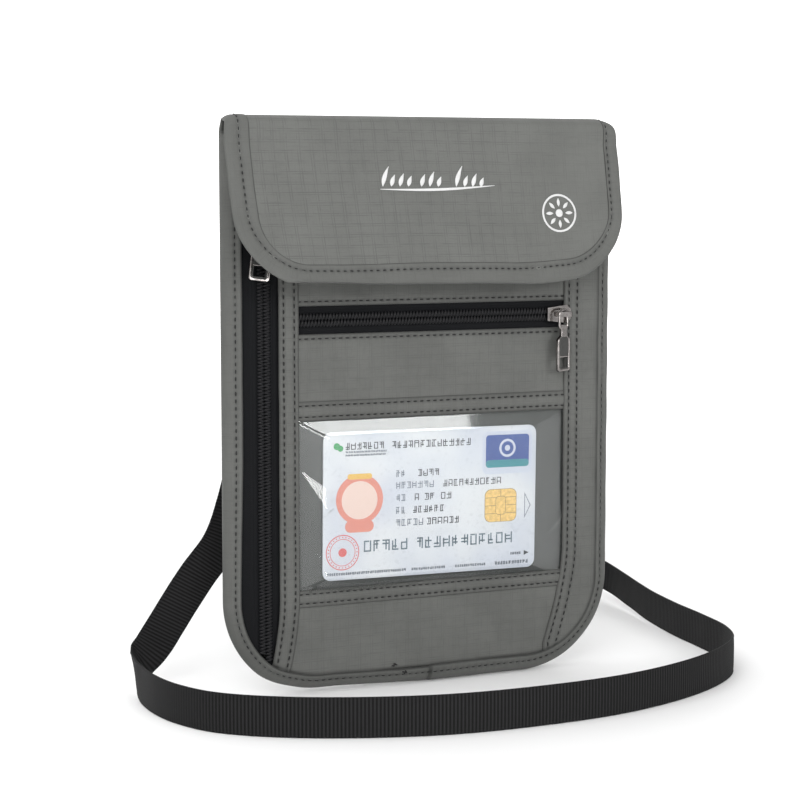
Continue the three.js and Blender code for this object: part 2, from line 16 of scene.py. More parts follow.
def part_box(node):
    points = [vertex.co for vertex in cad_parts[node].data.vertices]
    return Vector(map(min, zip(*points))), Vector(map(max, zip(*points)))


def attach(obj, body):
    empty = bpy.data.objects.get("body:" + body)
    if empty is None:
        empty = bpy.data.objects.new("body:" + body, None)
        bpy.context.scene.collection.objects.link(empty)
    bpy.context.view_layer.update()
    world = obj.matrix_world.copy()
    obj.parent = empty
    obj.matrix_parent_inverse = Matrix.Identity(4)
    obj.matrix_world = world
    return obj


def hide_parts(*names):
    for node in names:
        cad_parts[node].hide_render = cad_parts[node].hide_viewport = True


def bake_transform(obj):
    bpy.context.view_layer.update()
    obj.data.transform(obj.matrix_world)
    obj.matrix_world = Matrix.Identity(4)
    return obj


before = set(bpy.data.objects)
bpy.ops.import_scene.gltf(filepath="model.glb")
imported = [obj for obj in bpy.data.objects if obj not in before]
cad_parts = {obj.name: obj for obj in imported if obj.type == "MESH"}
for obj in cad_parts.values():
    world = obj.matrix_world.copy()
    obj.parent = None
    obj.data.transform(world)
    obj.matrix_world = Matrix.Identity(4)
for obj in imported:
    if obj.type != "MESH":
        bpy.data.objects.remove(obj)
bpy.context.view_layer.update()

MM = 0.001


def low(node):
    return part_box(node)[0]


def high(node):
    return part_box(node)[1]


# ---------- sizes ----------
HALF = high("body_binding").x
MOUTH = high("body_binding").z
FACE = low("left_band").y
BACK = high("back_panel").y
CORNER = 36 * MM  # outer radius of the pouch's lower corners
BINDING = 6.8 * MM
TUCK = 1.2 * MM  # how far a panel goes under its neighbour

FLAP_LENGTH = 58 * MM
FLAP_CORNER = 25 * MM
FLAP_TILT = math.radians(16)
FLAP_HINGE = (-4.2 * MM, 204 * MM)  # y, z
BACK_HINGE = (5.4 * MM, 203.5 * MM)
FOLD_TOP = high("flap_fold").z + 0.8 * MM
COVER_OUT = 1.3 * MM  # outside of the cover, from the flap's hinge line
FLAP_BEND = {"start": (0, -2.5 * MM, 206 * MM), "end": (0, -5.8 * MM, 202.5 * MM)}  # fold to flap
BACK_BEND = {"start": (0, 0, 202 * MM), "end": (0, 0, 204.7 * MM)}  # back to fold

PITCH = 2.6 * MM  # from one stitch to the next
STITCH = 1.7 * MM
DENT = 0.38 * MM  # how deep a stitch row pulls the cloth in
DENT_WIDTH = 0.75 * MM


# ---------- camera ----------
def add_camera():
    place = Vector((-0.2899, -0.6485, 0.1789))
    aim = Vector((0.3955, 0.9126, -0.1035))
    data = bpy.data.cameras.new("camera")
    data.lens = 87.75
    data.sensor_width = 36
    data.clip_start = 0.05
    data.clip_end = 50
    camera = bpy.data.objects.new("camera", data)
    camera.location = place
    camera.rotation_euler = aim.to_track_quat("-Z", "Y").to_euler()
    bpy.context.scene.collection.objects.link(camera)
    bpy.context.scene.camera = camera


# ---------- materials ----------
class Shader:
    """A Principled material, with short calls for the nodes that pattern it."""

    def __init__(self, name, colour, roughness, **sockets):
        self.material = bpy.data.materials.new(name)
        self.material.use_nodes = True
        self.material.diffuse_color = (*colour, 1)
        self.tree = self.material.node_tree
        self.main = self.tree.nodes["Principled BSDF"]
        self.set("Base Color", (*colour, 1))
        self.set("Roughness", roughness)
        for socket, value in sockets.items():
            self.set(socket.replace("_", " "), value)

    def set(self, socket, value):
        if isinstance(value, bpy.types.NodeSocket):
            self.tree.links.new(value, self.main.inputs[socket])
        else:
            self.main.inputs[socket].default_value = value

    def node(self, kind, inputs=None, **settings):
        node = self.tree.nodes.new(kind)
        for key, value in settings.items():
            setattr(node, key, value)
        for key, value in (inputs or {}).items():
            if isinstance(value, bpy.types.NodeSocket):
                self.tree.links.new(value, node.inputs[key])
            else:
                node.inputs[key].default_value = value
        return node.outputs

    def math(self, operation, a, b=0.0):
        return self.node("ShaderNodeMath", {0: a, 1: b}, operation=operation)[0]

    def times(self, a, b):
        return self.math("MULTIPLY", a, b)

    def cloth_place(self):
        """The place on the flat cloth, across and along, in metres."""
        return self.node("ShaderNodeAttribute", attribute_name="weave")["Vector"]

    def seam(self):
        """How much shade is painted on a place along seams, stitch rows and edges, from 0 to 1."""
        return self.node("ShaderNodeAttribute", attribute_name="seam")["Fac"]

    def stretched(self, vector, x, y):
        return self.node("ShaderNodeVectorMath", {0: vector, 1: (x, y, 1)}, operation="MULTIPLY")[0]

    def body_place(self):
        return self.node("ShaderNodeTexCoord")["Object"]

    def axes(self, vector):
        return self.node("ShaderNodeSeparateXYZ", {0: vector})

    def wave(self, coordinate, pitch):
        """0 to 1 and back once in each pitch."""
        turn = self.times(coordinate, 2 * math.pi / pitch)
        return self.math("ADD", self.times(self.math("SINE", turn), 0.5), 0.5)

    def line(self, coordinate, pitch, width):
        """1 on thin lines a pitch apart, and 0 between them."""
        cell = self.math("FRACT", self.times(coordinate, 1 / pitch))
        away = self.math("ABSOLUTE", self.math("SUBTRACT", cell, 0.5))
        return self.ramp(away, 0.5 * width / pitch, 0.0)

    def ramp(self, value, low_end, high_end, to_low=0.0, to_high=1.0):
        """From to_low to to_high, as the value goes from low_end to high_end."""
        inputs = {"Value": value, "From Min": low_end, "From Max": high_end}
        inputs |= {"To Min": to_low, "To Max": to_high}
        return self.node("ShaderNodeMapRange", inputs, interpolation_type="SMOOTHSTEP")["Result"]

    def noise(self, vector, size, detail=3.0, roughness=0.55):
        """Clouds of about a size, from 0 to 1."""
        inputs = {"Vector": vector, "Scale": 1 / size, "Detail": detail, "Roughness": roughness}
        return self.node("ShaderNodeTexNoise", inputs)["Fac"]

    def blend(self, share, a, b):
        """Colour a where share is 0 and b where it is 1."""
        ends = [end if isinstance(end, bpy.types.NodeSocket) else (*end, 1) for end in (a, b)]
        inputs = {"Factor": share, 6: ends[0], 7: ends[1]}
        return self.node("ShaderNodeMix", inputs, data_type="RGBA")[2]

    def colour_by(self, value, low_end, high_end, first, second):
        """The base colour goes from first to second, as the value goes from low_end to high_end."""
        self.set("Base Color", self.blend(self.ramp(value, low_end, high_end), first, second))

    def roughness_by(self, value, low_end, high_end, least, most):
        self.set("Roughness", self.ramp(value, low_end, high_end, least, most))

    def bump(self, height, distance, strength=1.0):
        inputs = {"Height": height, "Distance": distance, "Strength": strength}
        self.set("Normal", self.node("ShaderNodeBump", inputs)["Normal"])


def shade(colour, factor):
    return tuple(c * factor for c in colour)


def woven(name, colour, grid=0.0, thread=0.34 * MM, roughness=0.66, sheen=0.06, wander=0.0, faded=None):
    """Plain-woven cloth. grid is how much the ripstop's thicker threads show, wander is how
    much more than usual its tone changes, and the grid fades out between the two values of x in
    faded."""
    s = Shader(name, colour, roughness, Sheen_Weight=sheen, Sheen_Roughness=0.4, Specular_IOR_Level=0.22)
    at = s.cloth_place()
    x, y, _ = s.axes(at)[0:3]
    over = s.times(s.wave(x, thread), s.wave(y, thread))
    height = s.times(over, 0.5)
    clouds = s.ramp(s.noise(at, 22 * MM), 0.3, 0.7)
    tone = s.blend(clouds, shade(colour, 0.94 - wander), shade(colour, 1.06 + wander))
    warp = s.noise(s.stretched(at, 1.0, 0.06), 0.55 * MM, detail=2.0)
    weft = s.noise(s.stretched(at, 0.06, 1.0), 0.55 * MM, detail=2.0)
    slub = s.math("MAXIMUM", s.ramp(warp, 0.5, 0.72), s.ramp(weft, 0.5, 0.72))
    tone = s.blend(s.times(slub, 0.22), tone, shade(colour, 0.6))
    fine = s.noise(at, 0.7 * MM, detail=2.0)
    tone = s.blend(s.ramp(fine, 0.35, 0.75, 0.0, 0.14), tone, shade(colour, 1.4))
    if grid:
        # two thicker threads in each square, both ways, which come and go
        down, side = (
            s.times(
                s.math(
                    "MAXIMUM",
                    s.line(place, pitch, 0.5 * MM),
                    s.line(s.math("ADD", place, gap), pitch, 0.36 * MM),
                ),
                s.ramp(s.noise(s.stretched(at, *stretch), 1.6 * MM), 0.35, 0.6, 0.15, 1.0),
            )
            for place, pitch, gap, stretch in (
                (x, 4.75 * MM, 0.9 * MM, (1.0, 0.3)),
                (y, 3.75 * MM, 0.8 * MM, (0.3, 1.0)),
            )
        )
        ribs = s.math("MAXIMUM", down, side)
        if faded:
            ribs = s.times(ribs, s.ramp(x, faded[0], faded[1], 1.0, 0.35))
        tone = s.blend(s.times(ribs, grid), tone, shade(colour, 0.5))
        height = s.math("SUBTRACT", height, s.times(ribs, 0.7))
    # painted shade: the cloth is darkened along seams, stitch rows and panel edges
    tone = s.blend(s.times(s.seam(), 0.8), tone, shade(colour, 0.18))
    s.set("Base Color", tone)
    s.roughness_by(fine, 0.2, 0.8, roughness - 0.06, roughness + 0.08)
    s.bump(height, 0.06 * MM, 0.6)
    return s.material


def zip_tape():
    colour = (0.0092, 0.0096, 0.0106)
    s = Shader("zip_tape", colour, 0.85, Specular_IOR_Level=0.06)
    at = s.cloth_place()
    x, y, _ = s.axes(at)[0:3]
    # the twill leans one way and then the other, in narrow stripes
    lean = s.math("PINGPONG", x, 1.1 * MM)
    twill = s.wave(s.math("ADD", y, lean), 0.62 * MM)
    share = s.times(twill, 0.5)
    s.set("Base Color", s.blend(share, shade(colour, 0.8), shade(colour, 1.5)))
    s.bump(twill, 0.08 * MM, 0.7)
    return s.material


def coil_nylon():
    s = Shader("coil_nylon", (0.006, 0.006, 0.007), 0.4, Specular_IOR_Level=0.3)
    wear = s.noise(s.body_place(), 0.8 * MM)
    s.roughness_by(wear, 0.3, 0.7, 0.36, 0.52)
    s.colour_by(wear, 0.4, 0.8, (0.005, 0.005, 0.006), (0.011, 0.011, 0.013))
    return s.material


def gunmetal():
    colour, roughness = (0.33, 0.31, 0.3), 0.14
    s = Shader("gunmetal", colour, roughness, Metallic=1.0, Specular_IOR_Level=0.5)
    at = s.body_place()
    smear = s.noise(at, 2.5 * MM)
    s.colour_by(smear, 0.35, 0.7, shade(colour, 0.8), shade(colour, 1.25))
    s.roughness_by(s.noise(at, 0.6 * MM), 0.3, 0.7, roughness - 0.05, roughness + 0.12)
    return s.material


def tab_face():
    colour = (0.055, 0.055, 0.053)
    s = Shader("tab_face", colour, 0.42, Metallic=0.55)
    at = s.body_place()
    grain = s.noise(at, 0.35 * MM)
    s.colour_by(grain, 0.3, 0.7, shade(colour, 0.8), shade(colour, 1.4))
    s.bump(grain, 0.03 * MM, 0.6)
    return s.material


def webbing():
    colour = (0.0075, 0.0075, 0.0078)
    s = Shader("webbing", colour, 0.72, Sheen_Weight=0.015, Sheen_Roughness=0.45, Specular_IOR_Level=0.14)
    at = s.cloth_place()
    x, y, _ = s.axes(at)[0:3]
    rib = s.wave(y, RIB)
    yarn = s.wave(s.math("ADD", x, s.times(y, 0.6)), 0.5 * MM)
    # the ribs' tone swings from dark grooves to light crests: painted shade and painted highlight on the
    # black yarn
    tone = s.blend(s.times(rib, 0.8), shade(colour, 0.3), shade(colour, 2.7))
    tone = s.blend(s.times(yarn, 0.25), tone, shade(colour, 0.5))
    s.set("Base Color", tone)
    s.bump(s.math("ADD", yarn, s.times(s.noise(at, 0.25 * MM), 0.6)), 0.05 * MM, 0.6)
    return s.material


def black_plastic():
    s = Shader("black_plastic", (0.014, 0.014, 0.015), 0.42)
    grain = s.noise(s.body_place(), 0.3 * MM, detail=4.0)
    s.roughness_by(grain, 0.3, 0.7, 0.36, 0.52)
    s.bump(grain, 0.02 * MM, 0.5)
    return s.material


def clear_film():
    """Mirrors as clear vinyl does, with a little haze, and lets the rest through."""
    s = Shader("clear_film", (0.97, 0.98, 0.98), 0.05, Metallic=1.0)
    at = s.cloth_place()
    haze = s.noise(at, 9 * MM, detail=2.0)
    s.roughness_by(haze, 0.3, 0.8, 0.03, 0.08)
    clear = s.node("ShaderNodeBsdfTransparent", {"Color": (0.975, 0.98, 0.975, 1)})[0]
    mirror = s.node("ShaderNodeFresnel", {"IOR": 1.5})[0]
    share = s.times(mirror, 0.6)
    mixed = s.node("ShaderNodeMixShader", {0: share, 1: clear, 2: s.main.outputs[0]})[0]
    s.tree.links.new(mixed, s.tree.nodes["Material Output"].inputs["Surface"])
    return s.material


def card_stock():
    colour = (0.59, 0.61, 0.67)
    s = Shader("card_stock", colour, 0.3, Coat_Weight=0.4, Coat_Roughness=0.08)
    at = s.body_place()
    clouds = s.noise(at, 26 * MM, detail=1.0)
    s.colour_by(clouds, 0.3, 0.7, (0.54, 0.57, 0.65), (0.65, 0.665, 0.7))
    s.roughness_by(s.noise(at, 1.5 * MM), 0.3, 0.7, 0.26, 0.36)
    return s.material


def ink(name, colour, roughness=0.35, on_cloth=False):
    s = Shader(name, colour, roughness)
    fade = s.noise(s.cloth_place() if on_cloth else s.body_place(), 0.5 * MM)
    worn = tuple(0.85 * c + 0.04 for c in colour)
    s.colour_by(fade, 0.3, 0.75, shade(colour, 0.85), worn)
    return s.material


def gold():
    colour = (0.72, 0.5, 0.2)
    s = Shader("gold", colour, 0.3, Metallic=0.85)
    brushed = s.noise(s.body_place(), 1.2 * MM)
    s.colour_by(brushed, 0.3, 0.7, shade(colour, 0.85), shade(colour, 1.12))
    return s.material


def touch_tape(name, colour, size):
    s = Shader(name, colour, 0.9, Sheen_Weight=0.35)
    at = s.cloth_place()
    fuzz = s.noise(at, size, detail=4.0, roughness=0.7)
    s.colour_by(fuzz, 0.35, 0.7, shade(colour, 0.5), shade(colour, 1.7))
    s.bump(fuzz, 0.35 * MM, 1.0)
    return s.material


def studio_white(name, glow, glow_from=None, glow_to=None):
    """White paper. It glows more with distance, between two values of y, if they are given."""
    s = Shader(name, (0.86, 0.86, 0.86), 0.6, Emission_Color=(1, 1, 1, 1), Emission_Strength=glow)
    place = s.body_place()
    grain = s.noise(place, 0.2)
    s.roughness_by(grain, 0.3, 0.7, 0.55, 0.65)
    if glow_to:
        s.set("Emission Strength", s.ramp(s.axes(place)[1], glow_from, glow_to, 0.0, glow))
    return s.material


# ---------- meshes ----------
def smooth(share):
    share = np.clip(share, 0, 1)
    return share * share * (3 - 2 * share)


def circle(count):
    """Angles spread evenly round a circle."""
    return np.linspace(0, 2 * math.pi, count, endpoint=False)


def unit(vectors):
    return vectors / np.maximum(np.linalg.norm(vectors, axis=-1, keepdims=True), 1e-12)


def ripples(a, b, wavelength, seed, count=7):
    """Smooth random waves over two coordinates, about -1 to 1."""
    rng = np.random.default_rng(seed)
    total = 0.0
    for _ in range(count):
        turn, phase = rng.uniform(0, 2 * math.pi, 2)
        k = 2 * math.pi / (wavelength * rng.uniform(0.7, 1.5))
        total = total + np.sin(k * (a * math.cos(turn) + b * math.sin(turn)) + phase)
    return total / (1.4 * math.sqrt(count))


def make(name, points, faces, material, weave=None, seam=None):
    """A smooth-shaded mesh with its faces turned outwards. weave is each point's place on the
    flat cloth, and the seam shade is how much shade is painted on it near seams and edges."""
    mesh = bpy.data.meshes.new(name)
    mesh.from_pydata(np.asarray(points, float).reshape(-1, 3).tolist(), [], faces)
    work = bmesh.new()
    work.from_mesh(mesh)
    bmesh.ops.recalc_face_normals(work, faces=work.faces)
    work.to_mesh(mesh)
    work.free()
    mesh.shade_smooth()
    if weave is not None:
        flat = np.zeros((len(mesh.vertices), 3), np.float32)
        flat[:, :2] = np.asarray(weave, float).reshape(-1, 2)
        mesh.attributes.new("weave", "FLOAT_VECTOR", "POINT").data.foreach_set("vector", flat.ravel())
    if seam is not None:
        near = np.asarray(seam, np.float32).ravel()
        mesh.attributes.new("seam", "FLOAT", "POINT").data.foreach_set("value", near)
    mesh.materials.append(material)
    obj = bpy.data.objects.new(name, mesh)
    bpy.context.scene.collection.objects.link(obj)
    return obj


def distances(line):
    """How far along the line each of its places is."""
    return np.concatenate([[0], np.cumsum(np.linalg.norm(np.diff(line, axis=0), axis=1))])


def normals(points):
    across = np.gradient(points, axis=0)
    along = np.gradient(points, axis=1)
    return unit(np.cross(across, along))


def quads(grid, wrap=False):
    """The faces of a grid of vertex numbers. wrap joins its last column to its first."""
    if wrap:
        grid = np.concatenate([grid, grid[:, :1]], axis=1)
    corners = [grid[:-1, :-1], grid[1:, :-1], grid[1:, 1:], grid[:-1, 1:]]
    return np.stack([c.ravel() for c in corners], axis=1).tolist()


def sheet_of(name, points, thick, material, weave, seam=None):
    """A closed sheet of cloth with a rounded edge. points is a grid on its outer face."""
    n, m = points.shape[:2]
    inner = points - thick * normals(points)
    loop = [(i, 0) for i in range(n)] + [(n - 1, j) for j in range(1, m)]
    loop += [(i, m - 1) for i in range(n - 2, -1, -1)] + [(0, j) for j in range(m - 2, 0, -1)]
    i, j = np.array(loop).T
    inside = points[np.clip(i, 1, n - 2), np.clip(j, 1, m - 2)]
    edge = (points[i, j] + inner[i, j]) / 2 + 0.4 * thick * unit(points[i, j] - inside)
    front = np.arange(n * m).reshape(n, m)
    back = front + n * m
    rim = np.stack([front[i, j], 2 * n * m + np.arange(len(loop)), back[i, j]], axis=0)
    faces = quads(front) + quads(back) + quads(rim, wrap=True)
    flat = np.asarray(weave).reshape(n, m, 2)
    every = np.concatenate([points.reshape(-1, 3), inner.reshape(-1, 3), edge])
    places = np.concatenate([flat.reshape(-1, 2)] * 2 + [flat[i, j]])
    if seam is not None:
        seam = np.concatenate([seam.ravel(), seam.ravel(), seam[i, j]])
    return make(name, every, faces, material, places, seam)


def swept(name, rings, material, closed=False, seam=None):
    """A solid with a skin over rings of points, one ring for each station on its way."""
    n, m = rings.shape[:2]
    number = np.arange(n * m).reshape(n, m)
    if closed:
        faces = quads(np.concatenate([number, number[:1]]), wrap=True)
    else:
        faces = quads(number, wrap=True) + [number[0].tolist(), number[-1][::-1].tolist()]
    girth = np.cumsum(np.linalg.norm(rings - np.roll(rings, 1, axis=1), axis=2), axis=1)
    way = distances(rings.mean(axis=1))
    flat = np.stack([girth, np.broadcast_to(way[:, None], (n, m))], axis=2)
    return make(name, rings, faces, material, flat, seam)


def wire_ring(name, line, radius, material):
    """A round wire along a closed line."""
    line = np.asarray(line, float)
    along = unit(np.roll(line, -1, axis=0) - np.roll(line, 1, axis=0))
    side = unit(np.cross(along, np.array([0.31, 0.9, 0.3])))
    up = np.cross(side, along)
    turn = circle(10)[None, :, None]
    rings = line[:, None] + radius * (np.cos(turn) * side[:, None] + np.sin(turn) * up[:, None])
    return swept(name, rings, material, closed=True)


def flat_solid(name, outlines, thick, rounding, material):
    """A plate with rounded edges, and with a hole for each outline after the first. It faces -Y
    with the middle of its thickness at y = 0."""
    curve = bpy.data.curves.new(name, "CURVE")
    curve.dimensions = "2D"
    curve.fill_mode = "BOTH"
    curve.extrude = thick / 2 - rounding
    curve.bevel_depth = rounding
    curve.bevel_resolution = 3
    curve.offset = -rounding
    for outline in outlines:
        spline = curve.splines.new("POLY")
        spline.points.add(len(outline) - 1)
        for point, (x, z) in zip(spline.points, outline):
            point.co = (x, z, 0, 1)
        spline.use_cyclic_u = True
    holder = bpy.data.objects.new(name, curve)
    mesh = bpy.data.meshes.new_from_object(holder)
    bpy.data.objects.remove(holder)
    bpy.data.curves.remove(curve)
    mesh.transform(Matrix.Rotation(math.pi / 2, 4, "X"))
    mesh.name = name
    mesh.materials.clear()
    mesh.materials.append(material)
    mesh.shade_smooth()
    mesh.set_sharp_from_angle(angle=math.radians(50))
    obj = bpy.data.objects.new(name, mesh)
    bpy.context.scene.collection.objects.link(obj)
    return obj


def rounded_box(x0, x1, z0, z1, radius, steps=6):
    """The outline of a rectangle with round corners."""
    centres = [(x1 - radius, z0 + radius), (x1 - radius, z1 - radius), (x0 + radius, z1 - radius)]
    centres.append((x0 + radius, z0 + radius))
    outline = []
    for quarter, (cx, cz) in enumerate(centres):
        for k in range(steps + 1):
            a = (quarter - 1 + k / steps) * math.pi / 2
            outline.append((cx + radius * math.cos(a), cz + radius * math.sin(a)))
    return outline


def joined(name, objects):
    """The objects as one, with each keeping its material."""
    for other in bpy.context.selected_objects:
        other.select_set(False)
    for obj in objects:
        obj.select_set(True)
    bpy.context.view_layer.objects.active = objects[0]
    bpy.ops.object.join()
    objects[0].name = name
    objects[0].data.name = name
    return objects[0]


def piece(obj, body, slot, *nodes):
    """obj rides on body and stands for nodes. slot is not used."""
    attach(obj, body)
    if nodes:
        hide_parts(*nodes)


def bent(obj, near_body, far_body, bend, slot, *nodes):
    """obj's transform is baked into its mesh, and it stands for nodes. near_body, far_body, bend and slot
    are not used.
    """
    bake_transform(obj)
    if nodes:
        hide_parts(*nodes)


def near_row(across, along):
    """How strongly a stitch row shows at a distance across it, with a pucker for each stitch."""
    puckers = 0.65 - 0.35 * np.cos(2 * math.pi * along / PITCH)
    return puckers * np.exp(-((across / DENT_WIDTH) ** 2))


# ---------- stitches ----------
def stitches(line, outward, sink=0.12 * MM):
    """Rings of points for a row of stitches along a line of places, with the cloth's outward
    direction at each."""
    way = distances(line)
    count = int(way[-1] / PITCH)
    starts = (np.arange(count) + 0.5) * way[-1] / count

    def at(distance, values):
        return np.stack([np.interp(distance, way, values[:, k]) for k in range(3)], axis=-1)

    shares = np.array([-0.5, -0.38, 0.0, 0.38, 0.5])
    radii = np.array([0.02, 0.2, 0.25, 0.2, 0.02]) * MM
    dips = np.array([0.38, 0.12, 0.0, 0.12, 0.38]) * MM
    places = at(starts[:, None] + shares * STITCH, line)
    up = unit(at(starts[:, None] + shares * STITCH, outward))
    along = unit(np.gradient(places, axis=1))
    side = unit(np.cross(along, up))
    up = np.cross(side, along)
    middle = places - (dips + sink)[None, :, None] * up
    turn = circle(7)
    ring = np.cos(turn)[:, None] * side[:, :, None] + np.sin(turn)[:, None] * up[:, :, None] * 0.8
    return middle[:, :, None] + radii[None, :, None, None] * ring


def forwards(line):
    return np.tile([0.0, -1.0, 0.0], (len(line), 1))


def stitching(name, rows, material):
    """All the rows of stitches of one piece."""
    rings = np.concatenate(rows)
    count, n, m = rings.shape[:3]
    number = np.arange(n * m).reshape(n, m)
    one = quads(number, wrap=True) + [number[0].tolist(), number[-1][::-1].tolist()]
    faces = [[v + k * n * m for v in face] for k in range(count) for face in one]
    return make(name, rings, faces, material, rings[..., ::2])


# ---------- strap ----------
STRAP_WIDTH = 14 * MM
STRAP_THICK = 1 * MM
RIB = 1.3 * MM
FLOOR_Z = 0.0071
ANCHOR_X = 0.062
# x, y, z and turn in degrees, from the sewn end at the upper left of the back, down to the floor
DOWN_LEFT = [
    (-0.062, 0.0069, 0.197, 0), (-0.062, 0.007, 0.175, 0), (-0.062, 0.0076, 0.15, 0),
    (-0.0622, 0.0084, 0.125, 3), (-0.063, 0.0093, 0.104, 10), (-0.065, 0.0103, 0.086, 20),
    (-0.0686, 0.0115, 0.0695, 31), (-0.0734, 0.013, 0.0555, 39), (-0.0811, 0.017, 0.0433, 44),
    (-0.0863, 0.021, 0.0335, 46), (-0.0914, 0.0245, 0.0236, 50), (-0.0954, 0.027, 0.0162, 58),
    (-0.099, 0.0272, 0.012, 68), (-0.1022, 0.0242, 0.0096, 77), (-0.1042, 0.0175, 0.008, 85),
]
# x and y of the stretch that stands on its edge, round the front and back on the right
ON_FLOOR = [
    (-0.1048, 0.007), (-0.1042, -0.008), (-0.1006, -0.0225), (-0.0926, -0.037), (-0.076, -0.0505),
    (-0.05, -0.0628), (-0.02, -0.071), (0.012, -0.073), (0.045, -0.0705), (0.075, -0.0615),
    (0.098, -0.049), (0.113, -0.035), (0.1205, -0.018), (0.1235, 0.003), (0.1255, 0.028),
]
# off the floor behind the pouch and up the back on the right to the ring
UP_RIGHT = [
    (0.128, 0.052, 0.0078, 88), (0.1315, 0.076, 0.0094, 85), (0.133, 0.097, 0.0116, 82),
    (0.129, 0.113, 0.0145, 80), (0.117, 0.121, 0.018, 78), (0.103, 0.118, 0.022, 74),
    (0.09, 0.105, 0.027, 68), (0.079, 0.086, 0.033, 58), (0.0705, 0.064, 0.0415, 44),
    (0.065, 0.043, 0.054, 28), (0.0626, 0.026, 0.071, 13), (0.062, 0.0146, 0.092, 3),
    (0.062, 0.0096, 0.114, 0), (0.062, 0.0082, 0.132, 0), (0.062, 0.0082, 0.15, 0),
    (0.062, 0.0082, 0.166, 0),
]
# from the ring down to the adjuster
RETURN = [
    (0.062, 0.0122, 0.166, 0),
    (0.062, 0.0114, 0.154, 0),
    (0.062, 0.010, 0.142, 0),
    (0.062, 0.0097, 0.1366, 0),
]
RING_Y, RING_Z, TURN_RADIUS = 0.0102, 0.173, 0.002


def strap_route():
    floor = [(x, y, FLOOR_Z, 90) for x, y in ON_FLOOR]
    over = []
    for k in range(5):
        a = math.pi * (1 - k / 4)
        over.append((ANCHOR_X, RING_Y + TURN_RADIUS * math.cos(a), RING_Z + TURN_RADIUS * math.sin(a), 0))
    return np.array(DOWN_LEFT + floor + UP_RIGHT + over + RETURN, float)


def smooth_route(route, step=0.25 * MM):
    """A centripetal Catmull-Rom curve through the route's points, and the turn at each place."""
    p = route[:, :3]
    p = np.concatenate([[2 * p[0] - p[1]], p, [2 * p[-1] - p[-2]]])
    lines, turns = [], []
    for k in range(len(route) - 1):
        level = list(p[k : k + 4])
        gaps = np.linalg.norm(np.diff(level, axis=0), axis=1)
        knots = np.concatenate([[0], np.cumsum(gaps**0.5)])
        count = max(3, int(gaps[1] / step))
        t = np.linspace(knots[1], knots[2], count, endpoint=k == len(route) - 2)[:, None]
        for spans in (((0, 1), (1, 2), (2, 3)), ((0, 2), (1, 3)), ((1, 2),)):
            level = [
                (level[i] * (knots[b] - t) + level[i + 1] * (t - knots[a])) / (knots[b] - knots[a])
                for i, (a, b) in enumerate(spans)
            ]
        lines.append(level[0])
        share = smooth(np.linspace(0, 1, len(t), endpoint=False))
        turns.append(route[k, 3] + share * (route[k + 1, 3] - route[k, 3]))
    return np.concatenate(lines), np.concatenate(turns)


def add_strap(material):
    line, turn = smooth_route(strap_route())
    along = unit(np.gradient(line, axis=0))
    angle = np.radians(turn)
    across = np.stack([np.cos(angle), 0 * angle, -np.sin(angle)], axis=1)
    across = unit(across - (across * along).sum(1, keepdims=True) * along)
    out = np.cross(along, across)
    way = distances(line)
    rib = 1 - 0.14 * (0.5 - 0.5 * np.cos(2 * math.pi * way / RIB))
    # half a section from selvedge to selvedge: share of the half width, share of the half thickness
    half = [(-1, 0), (-0.985, 0.6), (-0.95, 0.82), (-0.9, 0.72), (-0.6, 0.9), (-0.2, 0.95)]
    half += [(-x, t) for x, t in half[:0:-1]]
    section = np.array(half + [(-x, -t) for x, t in half])
    w = section[:, 0] * STRAP_WIDTH / 2
    t = section[:, 1] * STRAP_THICK / 2
    thick = np.where(np.abs(section[:, 0]) < 0.92, rib[:, None], 1.0)
    rings = line[:, None] + w[None, :, None] * across[:, None] + (thick * t)[:, :, None] * out[:, None]
    strap = swept("strap_webbing", rings, material)
    flat = np.zeros((len(line), len(section), 3), np.float32)
    flat[:, :, 0] = w
    flat[:, :, 1] = way[:, None]
    strap.data.attributes["weave"].data.foreach_set("vector", flat.ravel())
    piece(strap, "root", "webbing", "neck_strap")


# ---------- cover: back, fold and flap ----------
def bezier(a, b, c, d, count):
    t = np.linspace(0, 1, count)[:, None]
    a, b, c, d = (np.array(p, float) for p in (a, b, c, d))
    return a * (1 - t) ** 3 + 3 * b * t * (1 - t) ** 2 + 3 * c * t**2 * (1 - t) + d * t**3


def cover_profile():
    """The cover's outer face in y and z: up the flap, over the fold and down the back."""
    tilt = np.array([-math.sin(FLAP_TILT), -math.cos(FLAP_TILT)])
    out = np.array([-math.cos(FLAP_TILT), math.sin(FLAP_TILT)])
    hinge = np.array(FLAP_HINGE) + COVER_OUT * out
    crown = np.array([0.4 * MM, FOLD_TOP])
    rear = np.array([BACK, BACK_HINGE[1] - 0.6 * MM])
    flap = [hinge + s * tilt for s in np.linspace(FLAP_LENGTH, 0, 120)]
    front = bezier(hinge, hinge - 1.7 * MM * tilt, crown - [3.2 * MM, 0], crown, 30)
    behind = bezier(crown, crown + [3 * MM, 0], rear + [0, 2.1 * MM], rear, 30)
    down = [np.array([BACK, z]) for z in np.linspace(rear[1], 0, 200)]
    line = np.concatenate([flap, front[1:], behind[1:], down[1:]])
    way = distances(line)
    along = unit(np.gradient(line, way, axis=0))
    outward = np.stack([-along[:, 1], along[:, 0]], axis=1)
    crown_way = way[len(flap) + 28]
    return line, outward, way - FLAP_LENGTH, crown_way - FLAP_LENGTH


PROFILE, OUTWARD, ALONG, CROWN = cover_profile()
TOP_OF_BACK = float(np.interp(-MOUTH, -PROFILE[150:, 1], ALONG[150:]))  # h at the mouth's height


